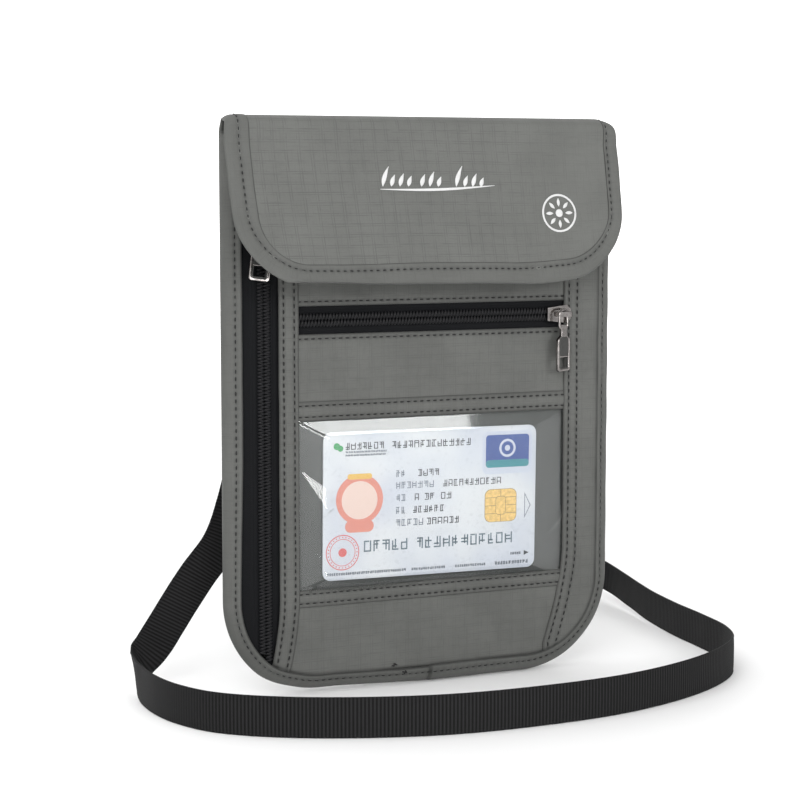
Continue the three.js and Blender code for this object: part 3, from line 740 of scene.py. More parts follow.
def flap_lift(x, h):
    """How far the flap hangs away from its flat place, outwards: the left corner curls out and
    the right edge hangs closer to the pouch."""
    down = np.maximum(-h, 0)
    curl = 4.2 * MM * (down / (45 * MM)) ** 2.6 - 1.3 * MM * smooth(down / (9 * MM))
    lean = -1.6 * MM * smooth(down / (7 * MM)) - 3.6 * MM * smooth(down / (52 * MM))
    left = smooth((-x - 5 * MM) / (70 * MM))
    right = smooth((x + 8 * MM) / (80 * MM))
    return curl * left + lean * right + 0.25 * MM * ripples(x, h, 34 * MM, 5) * smooth(down / (20 * MM))


def hem_rise(x):
    """How much higher than even the flap's lower edge hangs."""
    right = np.clip((x - 27 * MM) / (45 * MM), 0, 1) ** 1.5
    return 4.6 * MM * right - 0.8 * MM * (1 - right) - 1.3 * MM * smooth((-x - 5 * MM) / (40 * MM))


def cover(x, h, out=0.0):
    """A place on the cover's outer face, moved outwards by out."""
    x, h, out = np.broadcast_arrays(np.asarray(x, float), h, out)
    h = h + hem_rise(x) * np.clip(-h / FLAP_LENGTH, 0, 1) ** 2
    y, z = (np.interp(h, ALONG, PROFILE[:, k]) for k in (0, 1))
    ny, nz = (np.interp(h, ALONG, OUTWARD[:, k]) for k in (0, 1))
    out = out + flap_lift(x, h)
    # the back thins towards its side edges, as the pouch does
    side = smooth((np.abs(x) - (HALF - 7 * MM)) / (7 * MM))
    behind = smooth((h - CROWN + 1 * MM) / (6 * MM))
    y = y - 0.85 * side * behind * (y - 0.9 * MM)
    # the fold's ends are rounded off, more on the right
    near = np.exp(-(((h - CROWN) / (6.5 * MM)) ** 2))
    reach = np.where(x < 0, 7 * MM, 9 * MM)
    end = np.clip((np.abs(x) - (HALF - reach)) / reach, 0, 1)
    corner = np.clip((x - 62 * MM) / (15 * MM), 0, 1) * smooth((-h - 26 * MM) / (16 * MM))
    z = z + near * (0.55 + 0.35 * x / HALF) * MM - near * end**2 * 1.4 * MM
    x = x - np.sign(x) * near * end**2 * np.where(x < 0, 1.4 * MM, 3.0 * MM) - 0.6 * MM * corner
    return np.stack([x, y + out * ny, z + out * nz], axis=-1)


def cover_normal(x, h):
    step = 0.4 * MM
    across = cover(x + step, h) - cover(x - step, h)
    along = cover(x, h + step) - cover(x, h - step)
    return unit(np.cross(across, along))


def corner_path(left_top, bottom, radius, right_top, step):
    """Down the left side, round the bottom and up the right: places and their inward
    directions, in x and h or z. bottom is the lowest value."""
    straight = HALF - radius

    def count(length, least=3):
        return max(least, int(length / step))

    turns = count(1.57 * radius, 9)
    legs = [
        (np.linspace(left_top, bottom + radius, count(left_top - bottom - radius)), "left"),
        (np.linspace(math.pi, 1.5 * math.pi, turns), "corner_left"),
        (np.linspace(-straight, straight, count(2 * straight)), "bottom"),
        (np.linspace(1.5 * math.pi, 2 * math.pi, turns), "corner_right"),
        (np.linspace(bottom + radius, right_top, count(right_top - bottom - radius)), "right"),
    ]
    places, inward = [], []
    for values, leg in legs:
        for v in values if not places else values[1:]:
            if leg in ("left", "right"):
                side = -1 if leg == "left" else 1
                places.append((side * HALF, v))
                inward.append((-side, 0))
            elif leg == "bottom":
                places.append((v, bottom))
                inward.append((0, 1))
            else:
                centre = -straight if leg == "corner_left" else straight
                places.append((centre + radius * math.cos(v), bottom + radius + radius * math.sin(v)))
                inward.append((-math.cos(v), -math.sin(v)))
    return np.array(places), np.array(inward)


def outline_height(x, inset, radius, bottom):
    """Height of a rounded lower outline at x, moved in by inset."""
    beyond = np.maximum(np.abs(x) - (HALF - radius), 0)
    return bottom + radius - np.sqrt(np.maximum((radius - inset) ** 2 - beyond**2, 0))


def covered(name, inset, top, bottom_of, out, thick, material, step, facing=1):
    """A sheet of the cover from the height bottom_of(x) to top, with both in h."""
    xs = np.linspace(-HALF + inset, HALF - inset, int(2 * HALF / step))
    shares = np.linspace(0, 1, int(abs(top - bottom_of(0.0)) / step) + 2)
    x, share = np.meshgrid(xs, shares, indexing="ij")
    start = bottom_of(x)
    h = start + share * (top - start)
    points = cover(x, h, out)
    if facing < 0:
        points, x, h = points[::-1], x[::-1], h[::-1]
    return sheet_of(name, points, thick, material, np.stack([x, h], axis=2))


def round_rim(x, h, left, bottom, right):
    """A value for each side of the flap's binding, passing smoothly from one to the next."""
    side = np.where(x < 0, left, right)
    return bottom + (side - bottom) * smooth((h + FLAP_LENGTH) / (27 * MM))


def rim_width(x, h):
    return round_rim(x, h, 9.2 * MM, 8.2 * MM, 6.0 * MM)


def rim_row(x, h):
    """Where the stitch row runs, as a share of the binding's width from its outer edge."""
    return round_rim(x, h, 0.58, 0.73, 0.78)


def add_flap(cloth, lining, tape, thread, hook_pile):
    floor = -FLAP_LENGTH

    def bottom(x, inset=3 * MM):
        return outline_height(x, inset, FLAP_CORNER, floor)

    outer = covered("flap_cover", 3 * MM, CROWN, bottom, 0.0, 0.5 * MM, cloth, 1.0 * MM)
    inner = covered("flap_inside", 3 * MM, CROWN, bottom, -0.85 * MM, 0.3 * MM, lining, 1.6 * MM)
    path, inward = corner_path(CROWN, floor, FLAP_CORNER, CROWN, 0.75 * MM)
    widths = rim_width(path[:, 0], path[:, 1])
    way = distances(path)
    # share of the width from the outer edge, and height out of the cover in mm
    section = [(1.0, -0.25), (1.0, 0.15), (0.985, 0.3), (0.95, 0.36), (0.9, 0.38), (0.86, 0.38)]
    section += [(0.82, 0.38), (0.78, 0.37), (0.74, 0.36), (0.7, 0.35), (0.66, 0.34), (0.62, 0.34)]
    section += [(0.58, 0.34), (0.54, 0.35), (0.48, 0.38), (0.4, 0.42), (0.25, 0.42), (0.1, 0.3)]
    section += [(0.03, 0.02), (0.0, -0.45), (0.03, -1.0), (0.12, -1.35), (0.5, -1.55), (0.9, -1.55)]
    section += [(1.0, -1.35), (1.0, -0.9)]
    section = np.array(section) * [1, MM]
    share = section[:, 0][None, :]
    x = path[:, 0][:, None] + share * widths[:, None] * inward[:, 0][:, None]
    h = path[:, 1][:, None] + share * widths[:, None] * inward[:, 1][:, None]
    out = np.broadcast_to(section[:, 1][None, :], x.shape)
    middle_share = rim_row(path[:, 0], path[:, 1])
    row = near_row((share - middle_share[:, None]) * widths[:, None], way[:, None])
    waves = 0.16 * MM * ripples(way[:, None] + 0 * x, share * widths[:, None], 12 * MM, 8)
    front = (out > 0) & (share < 1)
    # painted shade along the stitch row and round the binding's outer edge
    seam = np.where(front, 0.55 * row, 0) + np.where((share > 0.96) & (out > -1 * MM), 0.8, 0)
    # it lies flatter where it goes over the fold
    flatter = 1 - 0.6 * np.exp(-(((h - CROWN) / (7 * MM)) ** 2)) * (out > 0)
    rings = cover(x, h, out * flatter - np.where(front, DENT * row - waves, 0))
    rim = swept("flap_rim", rings, tape, seam=np.clip(seam, 0, 1))
    middle = path + (middle_share * widths)[:, None] * inward
    wave = 0.16 * MM * ripples(way, middle_share * widths, 12 * MM, 8)
    line = cover(middle[:, 0], middle[:, 1], 0.34 * MM - 0.65 * DENT + wave)
    rows = [stitches(line, cover_normal(middle[:, 0], middle[:, 1]), sink=-0.05 * MM)]
    thread_piece = stitching("flap_stitching", rows, thread)
    bent(outer, "fold", "flap", FLAP_BEND, "pouch_fabric", "flap_outer", "flap_fold")
    bent(inner, "fold", "flap", FLAP_BEND, "shield_lining", "flap_lining")
    bent(rim, "fold", "flap", FLAP_BEND, "binding_tape", "flap_binding")
    bent(thread_piece, "fold", "flap", FLAP_BEND, "binding_tape")
    tape_low, tape_high, tape_half = -38 * MM, -22 * MM, 30 * MM
    hooks = covered(
        "hook_strip",
        HALF - tape_half,
        tape_high,
        lambda x: tape_low + 0 * x,
        -1.25 * MM,
        0.9 * MM,
        hook_pile,
        0.8 * MM,
    )
    piece(hooks, "flap", "touch_tape", "hook_tape")


def add_back(cloth, lining, tape, thread):
    """The back panel and the rear half of the fold, with the binding round them."""
    bottom_h = float(ALONG[-1])

    def down(x, inset=TUCK + 3 * MM):
        return bottom_h - outline_height(x, inset, CORNER, 0.0)

    outer = covered("back_cover", 4 * MM, CROWN, down, 0.0, 0.6 * MM, cloth, 1.5 * MM, facing=-1)

    def below_mouth(x):
        return TOP_OF_BACK + 3 * MM + 0 * x

    inner = covered(
        "fold_inside", 5 * MM, CROWN, below_mouth, -0.85 * MM, 0.3 * MM, lining, 1.5 * MM, facing=-1
    )
    rings, seam, line, outward = body_binding_rings(bottom_h)
    binding = swept("edge_binding", rings, tape, seam=seam)
    rows = [stitches(line, outward, sink=-0.1 * MM), *loose_ends()]
    thread_piece = stitching("edge_stitching", rows, thread)
    bent(outer, "root", "fold", BACK_BEND, "pouch_fabric", "back_panel")
    bent(inner, "root", "fold", BACK_BEND, "shield_lining")
    bent(binding, "root", "fold", BACK_BEND, "binding_tape", "body_binding")
    bent(thread_piece, "root", "fold", BACK_BEND, "binding_tape")


WEDGE = [  # the binding below the mouth: inset and y, from the front's inner edge round to the back's
    (6.8, -3.2), (6.85, -3.9), (6.6, -4.15), (6.0, -4.15), (5.2, -4.0),
    (4.8, -3.85), (4.4, -3.65), (4.0, -3.65), (3.2, -3.3), (2.0, -2.5),
    (1.0, -1.6), (0.45, -0.6), (0.35, 0.4), (0.6, 1.5), (1.3, 2.6),
    (2.6, 3.9), (4.4, 5.1), (6.0, 5.95), (6.7, 6.2), (6.9, 5.6),
]
STRIP = [  # and above it, where only the back goes on: inset and height out of the cover
    (6.8, -1.0), (6.85, -1.35), (6.6, -1.5), (6.0, -1.5), (5.2, -1.5),
    (4.8, -1.45), (4.4, -1.4), (4.0, -1.42), (3.2, -1.4), (1.8, -1.35),
    (0.7, -1.25), (0.15, -1.0), (0.0, -0.5), (0.15, 0.0), (0.8, 0.3),
    (2.5, 0.42), (4.4, 0.42), (6.0, 0.5), (6.7, 0.45), (6.9, 0.0),
]
EDGE_ROW = 4.4 * MM  # inset of the stitch row on the binding


def loose_ends():
    """Short ends of thread where the seams were started."""
    ends = []
    tufts = [(-13.3, 7.6, 0.3), (-12.4, 7.9, -0.4), (-12.9, 7.7, 1.2)]  # x and z in mm, and turn
    tufts += [(-8.6, 4.7, 0.9), (-9.2, 4.9, -0.2), (-8.2, 4.9, 2.2)]
    for x, z, turn in tufts:
        middle = np.array([x * MM, -4.35 * MM, z * MM + low_edge(x * MM)])
        along = np.linspace(-0.5, 0.5, 2)[:, None] * PITCH * 1.01
        line = middle + along * [math.cos(turn), -0.15, math.sin(turn)]
        ends.append(stitches(line, forwards(line), sink=0.0))
    return ends


def thinner(x, z):
    """The binding's share of its full width: it is narrower round the lower left."""
    return 1 - 0.16 * smooth((95 * MM - z) / (60 * MM)) * smooth((30 * MM - x) / (60 * MM))


def low_edge(x):
    """How far the pouch's lower edge rises on the left."""
    return 1.5 * MM * smooth((5 * MM - x) / (45 * MM)) * smooth((x + 66 * MM) / (16 * MM))


OVERLAP_X = 1.6 * MM  # where the binding's end is lapped over its beginning


def body_binding_rings(bottom_h):
    """Rings of the binding round the pouch and over the rear half of the fold, how much shade is
    painted on each point near a seam, and the stitch row on the front with the outward direction there."""
    top = bottom_h - CROWN
    path, inward = corner_path(top, 0.0, CORNER, top, 0.7 * MM)
    x0, height = path[:, 0][:, None], path[:, 1][:, None]
    way = distances(path)[:, None]
    wedge = np.array(WEDGE) * MM
    strip = np.array(STRIP) * MM
    share = thinner(x0, height)
    lapped = smooth((x0 - OVERLAP_X) / (0.5 * MM)) * smooth((OVERLAP_X + 40 * MM - x0) / (38 * MM))
    lapped = lapped * (height < 1 * MM)
    inset = wedge[:, 0][None] * share + 0.5 * MM * lapped * (wedge[:, 0][None] > 5 * MM)
    x = x0 + inset * inward[:, 0][:, None]
    z = height + inset * inward[:, 1][:, None]
    z = z + low_edge(x0) * smooth((26 * MM - height) / (20 * MM))
    front = wedge[:, 1][None] < 0
    row = near_row(wedge[:, 0][None] - EDGE_ROW, way)
    waves = 0.12 * MM * ripples(way + 0 * z, wedge[:, 0][None] + 0 * z, 13 * MM, 11)
    y = wedge[:, 1][None] + np.where(front, 0.8 * DENT * row + waves - 0.45 * MM * lapped, 0)
    solid = np.stack(np.broadcast_arrays(x, y, z), axis=-1)
    # it turns with the cloth where only the back goes on
    flatter = 0.2 + 0.8 * smooth((bottom_h - z - CROWN) / (6 * MM))
    thin = cover(x, bottom_h - z, strip[:, 1][None] * flatter)
    over = smooth((height - (MOUTH - 2.5 * MM)) / (3.5 * MM))[:, :, None]
    rings = solid * (1 - over) + thin * over
    # painted shade: darker along the stitch row, the front's inner edge and the step where the binding is
    # lapped
    step = np.exp(-(((x0 - OVERLAP_X) / (0.8 * MM)) ** 2)) * (height < 1 * MM)
    inner = np.where(wedge[:, 0] > 6.5 * MM, 0.9, 0)[None] * front
    seam = np.where(front, 0.55 * row + inner + 0.8 * step, 0)
    below = path[:, 1] < MOUTH - 3 * MM
    centre = path[below] + EDGE_ROW * share[below] * inward[below]
    rise = low_edge(centre[:, 0]) * smooth((26 * MM - centre[:, 1]) / (20 * MM))
    lift = -3.65 * MM + 0.5 * DENT - 0.45 * MM * lapped[below, 0]
    line = np.stack([centre[:, 0], lift, centre[:, 1] + rise], axis=1)
    lean = 0.42 * inward[below]
    outward = unit(np.stack([-lean[:, 0], np.full(len(centre), -1.0), -lean[:, 1]], axis=1))
    return rings, np.clip(seam, 0, 1), line, outward


# ---------- front ----------
def left_lean(z):
    """The left band's seams bend to the left near the bottom."""
    return -4.2 * MM * np.clip((36 * MM - z) / (28 * MM), 0, 1) ** 1.7


def right_lean(z):
    return -8 * MM * np.clip((46 * MM - z) / (35 * MM), 0, 1) ** 1.5


PANEL_FOOT = 4.4 * MM  # how near to the pouch's edge the panels go, under the binding


def foot(x, inset=PANEL_FOOT):
    return outline_height(x, inset, CORNER, 0.0) + low_edge(x)


def edge_distance(x, z):
    """Distance from the pouch's outline."""
    beyond = np.maximum(np.abs(x) - (HALF - CORNER), 0)
    below = np.maximum(CORNER - z, 0)
    round_part = CORNER - np.hypot(beyond, below)
    return np.where((beyond > 0) & (below > 0), round_part, np.minimum(HALF - np.abs(x), np.maximum(z, 0)))


def slack(x, z):
    """The front cloth's soft unevenness, and how it dips in under the binding."""
    broad = ripples(x, 0.55 * z, 30 * MM, 3)
    tuck = 1.5 * MM * smooth((7.2 * MM - edge_distance(x, z)) / (3.0 * MM))
    return 0.24 * MM * broad + 0.09 * MM * ripples(x, z, 9 * MM, 4) + tuck


def spread(count, marks):
    """Shares from 0 to 1, closer together round the marks."""
    even = np.linspace(0, 1, count)
    gap = even[1]
    close = np.array([mark + k * 0.3 * gap for mark in marks for k in range(-4, 5)])
    close = close[(close > 0) & (close < 1)]
    keep = [v for v in even[1:-1] if not len(close) or np.abs(close - v).min() > 0.25 * gap]
    return np.unique(np.concatenate([[0.0, 1.0], keep, close]))


def add_front_panel(name, shape, rows, columns, material, thread_rows, step=0.9 * MM, thick=0.45 * MM):
    """A panel of the front. shape is its sides as functions of z, its ends as functions of x, and
    how far it stands out. rows are the heights of stitch rows across it, and columns their
    distances from its left side."""
    (left, right), (low_end, high_end), lift = shape

    def surface(a, b):
        a, b = np.broadcast_arrays(np.asarray(a, float), b)
        x = left(100 * MM) + a * (right(100 * MM) - left(100 * MM))
        for _ in range(4):
            z = low_end(x) + b * (high_end(x) - low_end(x))
            x = left(z) + a * (right(z) - left(z))
        return np.stack([x, FACE - lift + slack(x, z), z], axis=-1)

    middle = surface(np.array([0.0, 1.0, 0.5, 0.5]), np.array([0.5, 0.5, 0.0, 1.0]))
    width, height = middle[1, 0] - middle[0, 0], middle[3, 2] - middle[2, 2]
    across = spread(max(8, int(width / step)), [c / width for c in columns])
    up = spread(max(8, int(height / step)), [(r - middle[2, 2]) / height for r in rows])
    a, b = np.meshgrid(across, up, indexing="ij")
    points = surface(a, b)
    x, z = points[:, :, 0], points[:, :, 2]
    pull = 0 * a
    for row in rows:
        pull = pull + near_row(z - row, x)
    for column in columns:
        pull = pull + near_row(x - left(z) - column, z)
    side_edge = np.minimum(x - left(z), right(z) - x)
    end_edge = np.minimum(z - low_end(x), high_end(x) - z)
    edges = np.exp(-((np.minimum(side_edge, end_edge) / (0.55 * MM)) ** 2))
    # painted shade beside the binding's inner edge, along the stitch rows and along the panel's edges
    to_binding = edge_distance(x, z - low_edge(x)) - BINDING * thinner(x, z)
    by_binding = np.exp(-((to_binding / (0.7 * MM)) ** 2))
    seam = np.clip(0.5 * pull + 0.6 * edges + 0.85 * by_binding, 0, 1)
    flat = points[:, :, ::2].copy()
    points[:, :, 1] += DENT * pull + 0.25 * MM * edges
    lines = [surface(np.linspace(0.004, 0.996, 240), (row - middle[2, 2]) / height) for row in rows]
    for column in columns:
        z = np.linspace(high_end(0.0) - 1 * MM, 6 * MM, 400)
        x = left(z) + column
        line = np.stack([x, FACE - lift + slack(x, z), z], axis=1)
        lines.append(line[z > foot(x, BINDING * thinner(x, z)) + 0.6 * MM])
    thread_rows += [stitches(line, forwards(line), sink=-0.03 * MM) for line in lines]
    return sheet_of(name, points, thick, material, flat, seam)


def add_front(cloth, lining, thread):
    band_left = (low("left_band").x, high("left_band").x)
    band_right = low("right_band").x
    zip_low, zip_high = high("pocket_upper_panel").z, low("upper_front_panel").z
    window = (high("window_bottom_band").z, low("window_top_band").z)
    bands = (low("window_bottom_band").z, high("window_top_band").z)
    rows = []

    def at(value, lean=None):
        return (lambda z: value + lean(z)) if lean else (lambda place: value + 0 * place)

    pocket = (at(band_left[1] - TUCK, left_lean), at(band_right + TUCK, right_lean))
    left_sides = (at(band_left[0], left_lean), at(band_left[1] + 0.15 * MM, left_lean))
    right_sides = (at(band_right - 0.1 * MM, right_lean), at(HALF - BINDING + TUCK))
    top = at(MOUTH - 0.2 * MM)
    outer_row, window_row = 1.5 * MM, 1.3 * MM  # from a turned edge to its stitches
    head = ((at(window[1]), at(bands[1])), [bands[1] - outer_row, window[1] + window_row])
    sill = ((at(bands[0]), at(window[0])), [window[0] - window_row, bands[0] + outer_row])
    above_zip = ((at(zip_high), top), [zip_high + outer_row])
    below_zip = ((at(bands[1] - TUCK), at(zip_low)), [zip_low - outer_row])
    whole = ((foot, top), [])
    panels = [
        # name, sides, ends and rows, how far it stands out, columns, nodes
        ("pocket_top_cloth", pocket, above_zip, 0, [], "upper_front_panel"),
        ("pocket_front_cloth", pocket, below_zip, 0, [], "pocket_upper_panel"),
        ("pocket_foot_cloth", pocket, ((foot, at(bands[0] + TUCK)), []), 0, [], "pocket_lower_panel"),
        ("window_head_band", pocket, head, 0.4, [], "window_top_band"),
        ("window_foot_band", pocket, sill, 0.4, [], "window_bottom_band"),
        ("left_band_cloth", left_sides, whole, 0.7, [1.7, 5.7], "left_band"),
        ("right_strip_cloth", right_sides, whole, 0.7, [2.0, 5.4], "right_band", "right_margin_panel"),
    ]
    for name, sides, (ends, across), lift, columns, *nodes in panels:
        columns = [c * MM for c in columns]
        obj = add_front_panel(name, (sides, ends, lift * MM), across, columns, cloth, rows)
        piece(obj, "root", "pouch_fabric", *nodes)
    piece(stitching("front_stitching", rows, thread), "root", "pouch_fabric")

    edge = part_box("front_pocket_lining")
    shape = ((at(edge[0].x), at(edge[1].x)), (foot, at(edge[1].z)), FACE - edge[0].y)
    pocket_back = add_front_panel(
        "pocket_lining_cloth", shape, [], [], lining, [], step=2 * MM, thick=0.35 * MM
    )
    piece(pocket_back, "root", "pocket_fabric", "front_pocket_lining")


# creases in the film: from x, z in mm, widening to x, z, half the width there, and the slope
FILM_CREASES = [
    (-49.6, 83.0, -39.5, 67.0, 7.0, 0.1),
    (-49.6, 56.2, -42.0, 49.0, 2.4, 0.1),
    (-50.5, 39.5, -39.5, 43.0, 3.4, 0.1),
    (47.0, 50.0, 57.0, 60.0, 3.0, 0.08),
]


def add_film(material):
    """The window: vinyl drawn over the card in flat facets, with a few sharp creases beside it."""
    bottom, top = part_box("window_film")
    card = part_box("id_card")
    xs = np.linspace(bottom.x - TUCK, top.x + TUCK, 260)
    zs = np.linspace(bottom.z - TUCK, top.z + TUCK, 170)
    x, z = np.meshgrid(xs, zs, indexing="ij")
    # how far the film has risen to the card's face along each facet: the lowest facet counts
    slopes = np.stack(
        [
            (x - bottom.x + 0.6 * MM) / (card[0].x - bottom.x + 2 * MM),
            (top.x - x) / (top.x - card[1].x + 4 * MM),
            (top.z - z) / (top.z - card[1].z + 1.5 * MM),
            (z - bottom.z + 3 * MM) / (6.5 * MM),
            1 + 0 * x,
        ]
    )
    sharp = 14.0
    rise = -np.log(np.exp(-sharp * np.maximum(slopes, 0)).sum(axis=0)) / sharp
    rise = np.clip(rise + 0.03, 0, 1)
    y = FACE + 0.25 * MM - 1.25 * MM * rise
    over_card = smooth((x - card[0].x) / (12 * MM)) * smooth((card[1].z - z) / (8 * MM))
    y += 0.3 * MM * ripples(0.5 * x + 0.4 * z, z, 46 * MM, 23, 4) * over_card
    for x0, z0, x1, z1, wide, slope in FILM_CREASES:
        start, run = np.array([x0, z0]) * MM, np.array([x1 - x0, z1 - z0]) * MM
        length = np.linalg.norm(run)
        along = ((x - start[0]) * run[0] + (z - start[1]) * run[1]) / length
        aside = ((x - start[0]) * -run[1] + (z - start[1]) * run[0]) / length
        reach = wide * MM * np.clip(along / length, 0, 1)
        beyond = np.exp(-((np.maximum(along - length, 0) / (1.2 * MM)) ** 2))
        y -= slope * beyond * np.maximum(reach - np.abs(aside), 0)
    points, weave = np.stack([x, y, z], axis=2), np.stack([x, z], axis=2)
    film = sheet_of("window_vinyl", points, 0.22 * MM, material, weave)
    piece(film, "root", "window_film", "window_film")


# ---------- card ----------
def add_card(stock):
    """The card, drawn flat with its lower left corner at the origin, then moved into place. Its
    print is made of plain shapes and of short random strokes that stand for lettering."""
    width, height = 85.6, 53.98  # in mm, as all the numbers here
    face_y = -0.4
    skin = 0.03  # thickness of a layer of print
    outline = rounded_box(0, width * MM, 0, height * MM, 3.2 * MM)
    parts = [flat_solid("card", [outline], -2 * face_y * MM, 0.12 * MM, stock)]

    def layer(level):
        """y of the middle of a layer of print."""
        return face_y - 0.55 * level * skin

    def patch(outlines, material, level=1):
        outlines = [[(x * MM, z * MM) for x, z in outline] for outline in outlines]
        solid = flat_solid("patch", outlines, skin * MM, 0.004 * MM, material)
        solid.data.transform(Matrix.Translation((0, layer(level) * MM, 0)))
        parts.append(solid)

    def box(x0, x1, z0, z1, radius, material, level=1, frame_width=0.0):
        outlines = [rounded_box(x0, x1, z0, z1, radius)]
        if frame_width:
            w = frame_width
            outlines.append(rounded_box(x0 + w, x1 - w, z0 + w, z1 - w, max(radius - w, 0.1)))
        patch(outlines, material, level)

    def disc(x, z, radius, material, level=1, hole=0.0):
        ring = [(math.cos(a), math.sin(a)) for a in circle(40)]
        patch([[(x + r * c, z + r * s) for c, s in ring] for r in (radius, hole) if r], material, level)

    def bars(corners, material, level=1):
        """Flat bars, each from x, z to x, z."""
        x0, z0, x1, z1 = np.array(corners, float).T
        face, back = layer(level) - 0.5 * skin, face_y + 0.2 * skin
        points = [
            [(x, y, z) for y in (face, back) for x, z in ((a, b), (c, b), (c, d), (a, d))]
            for a, b, c, d in zip(x0, z0, x1, z1)
        ]
        box_faces = [(0, 1, 2, 3), (7, 6, 5, 4), (0, 4, 5, 1), (1, 5, 6, 2), (2, 6, 7, 3), (3, 7, 4, 0)]
        faces = [[v + 8 * k for v in face] for k in range(len(corners)) for face in box_faces]
        solid = make("bars", np.array(points) * MM, faces, material)
        solid.data.shade_flat()
        parts.append(solid)

    black, grey, number, red, coral, peach, blue, teal, green, pale, yellow = (
        ink(f"ink_{name}", colour)
        for name, colour in (
            ("black", (0.035, 0.04, 0.055)),
            ("grey", (0.2, 0.23, 0.29)),
            ("number", (0.13, 0.19, 0.24)),
            ("red", (0.7, 0.12, 0.12)),
            ("coral", (0.74, 0.26, 0.2)),
            ("peach", (0.83, 0.64, 0.58)),
            ("blue", (0.03, 0.08, 0.32)),
            ("teal", (0.02, 0.25, 0.3)),
            ("green", (0.05, 0.35, 0.12)),
            ("pale", (0.6, 0.64, 0.75)),
            ("yellow", (0.8, 0.5, 0.1)),
        )
    )
    rng = np.random.default_rng(12)

    def print_row(x, end, z, tall, material, level=1):
        """A row of print with its middle at z: cells of a few strokes each."""
        pen = 0.13 * tall if tall > 2 else 0.3 * tall
        wide = 0.72 * tall
        corners = []
        while x + wide * 0.7 < end:
            cell = wide * rng.uniform(0.8, 1.05)
            low_z, high_z = z - tall / 2, z + tall / 2
            uprights = rng.choice(3, size=2, replace=False)
            for k in uprights:
                at = x + (cell - pen) * k / 2
                cut = rng.uniform(0, 0.3) * tall
                corners.append((at, low_z + cut * (k == 1), at + pen, high_z - cut * (k == 0)))
            for k in rng.choice(4, size=2, replace=False):
                at = low_z + (tall - pen) * k / 3
                corners.append((x, at, x + cell * rng.uniform(0.7, 1), at + pen))
            x += cell + 0.22 * tall
        bars(corners, material, level)

    # the heading, with a small leaf mark
    disc(5.2, 48.8, 1.25, green)
    disc(6.6, 48.0, 1.1, green, 2)
    print_row(8.6, 24.7, 48.7, 2.5, black)
    print_row(8.6, 24.7, 46.6, 0.7, grey)
    print_row(8.6, 24.7, 45.4, 0.7, grey)
    print_row(26.9, 58.8, 48.6, 2.6, black)
    # a plain badge
    box(63.3, 84.0, 36, 52.0, 2.2, pale)
    box(64.7, 82.6, 38.4, 50.6, 1.3, blue, 2)
    box(64.7, 82.6, 38.4, 41.2, 1.3, teal, 3)
    disc(73.6, 45.6, 3.4, pale, 3, hole=2.5)
    disc(73.6, 45.6, 1.1, pale, 3)
    # the rows beside the portrait
    rows = (
        (37.9, (28.6, 33.8), (37.3, 45.4)),
        (33.6, (28.6, 45.2), (47.3, 72.2)),
        (29.0, (28.6, 33.8), (36.0, 38.6), (40.0, 44.0), (46.6, 52.0)),
        (24.4, (28.6, 33.5), (35.4, 48.7)),
        (19.8, (28.6, 39.4), (41.0, 54.6)),
    )
    for z, *spans in rows:
        for k, (start, end) in enumerate(spans):
            print_row(start, end, z, 2.5, grey if k == 0 else black)
    # the chip and the arrow beside it
    chip_lines = ink("chip_lines", (0.3, 0.2, 0.08))
    box(64.5, 77.7, 17.9, 30.3, 2.4, gold(), 1)
    box(64.5, 77.7, 17.9, 30.3, 2.4, chip_lines, 2, 0.18)
    box(69.0, 73.2, 20.6, 27.6, 1.2, chip_lines, 2, 0.2)
    contacts = [(x, z, x + 4.5, z + 0.2) for x in (64.6, 73.1) for z in (21.0, 24.0, 27.0)]
    bars(contacts + [(71.0, 17.9, 71.2, 20.7), (71.0, 27.5, 71.2, 30.3)], chip_lines, 2)
    patch([[(81.0, 18.7), (83.7, 23.6), (81.0, 28.6)], [(81.3, 19.8), (83.3, 23.6), (81.3, 27.5)]], grey)
    patch([[(81.1, 4.7), (83.2, 5.6), (81.1, 6.5)]], black)
    # a head-and-shoulders blank for the portrait
    box(8.6, 19.8, 17.2, 21.6, 2.1, coral, 2)
    disc(14.2, 29.2, 9.2, coral)
    disc(14.2, 28.9, 7.0, peach, 2)
    box(9.4, 19.0, 36.6, 38.6, 0.9, yellow, 3)
    # a plain seal
    seal_x, seal_z, dot = 7.7, 10.1, 0.22
    disc(seal_x, seal_z, 6.5, red, 1, hole=6.15)
    disc(seal_x, seal_z, 5.0, red, 1, hole=4.75)
    disc(seal_x, seal_z, 1.6, red, 1)
    for a in circle(28):
        x, z = seal_x + 5.6 * math.cos(a), seal_z + 5.6 * math.sin(a)
        bars([(x - dot, z - dot, x + dot, z + dot)], red)
    # the number and the small rows below it
    print_row(16.0, 35.1, 11.9, 4.1, number)
    print_row(37.1, 76.9, 11.9, 4.1, number)
    print_row(75.5, 79.8, 5.6, 1.0, grey)
    print_row(69.1, 83.2, 2.3, 1.3, grey)
    for start, end in ((1.8, 33), (35, 49), (52.7, 65)):
        print_row(start, end, 2.3, 1.0, grey)

    whole = joined("card_body", parts)
    box_low, box_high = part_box("id_card")
    centre = (box_low + box_high) / 2
    turn = Matrix.Rotation(math.radians(0.6), 4, "Y")
    middle = Matrix.Translation((-width / 2 * MM, 0, -height / 2 * MM))
    whole.data.transform(Matrix.Translation(centre) @ turn @ middle)
    piece(whole, "card", "card", "id_card")


# ---------- zips ----------
COIL_PITCH = 1.25 * MM
COIL_WIRE = 0.3 * MM


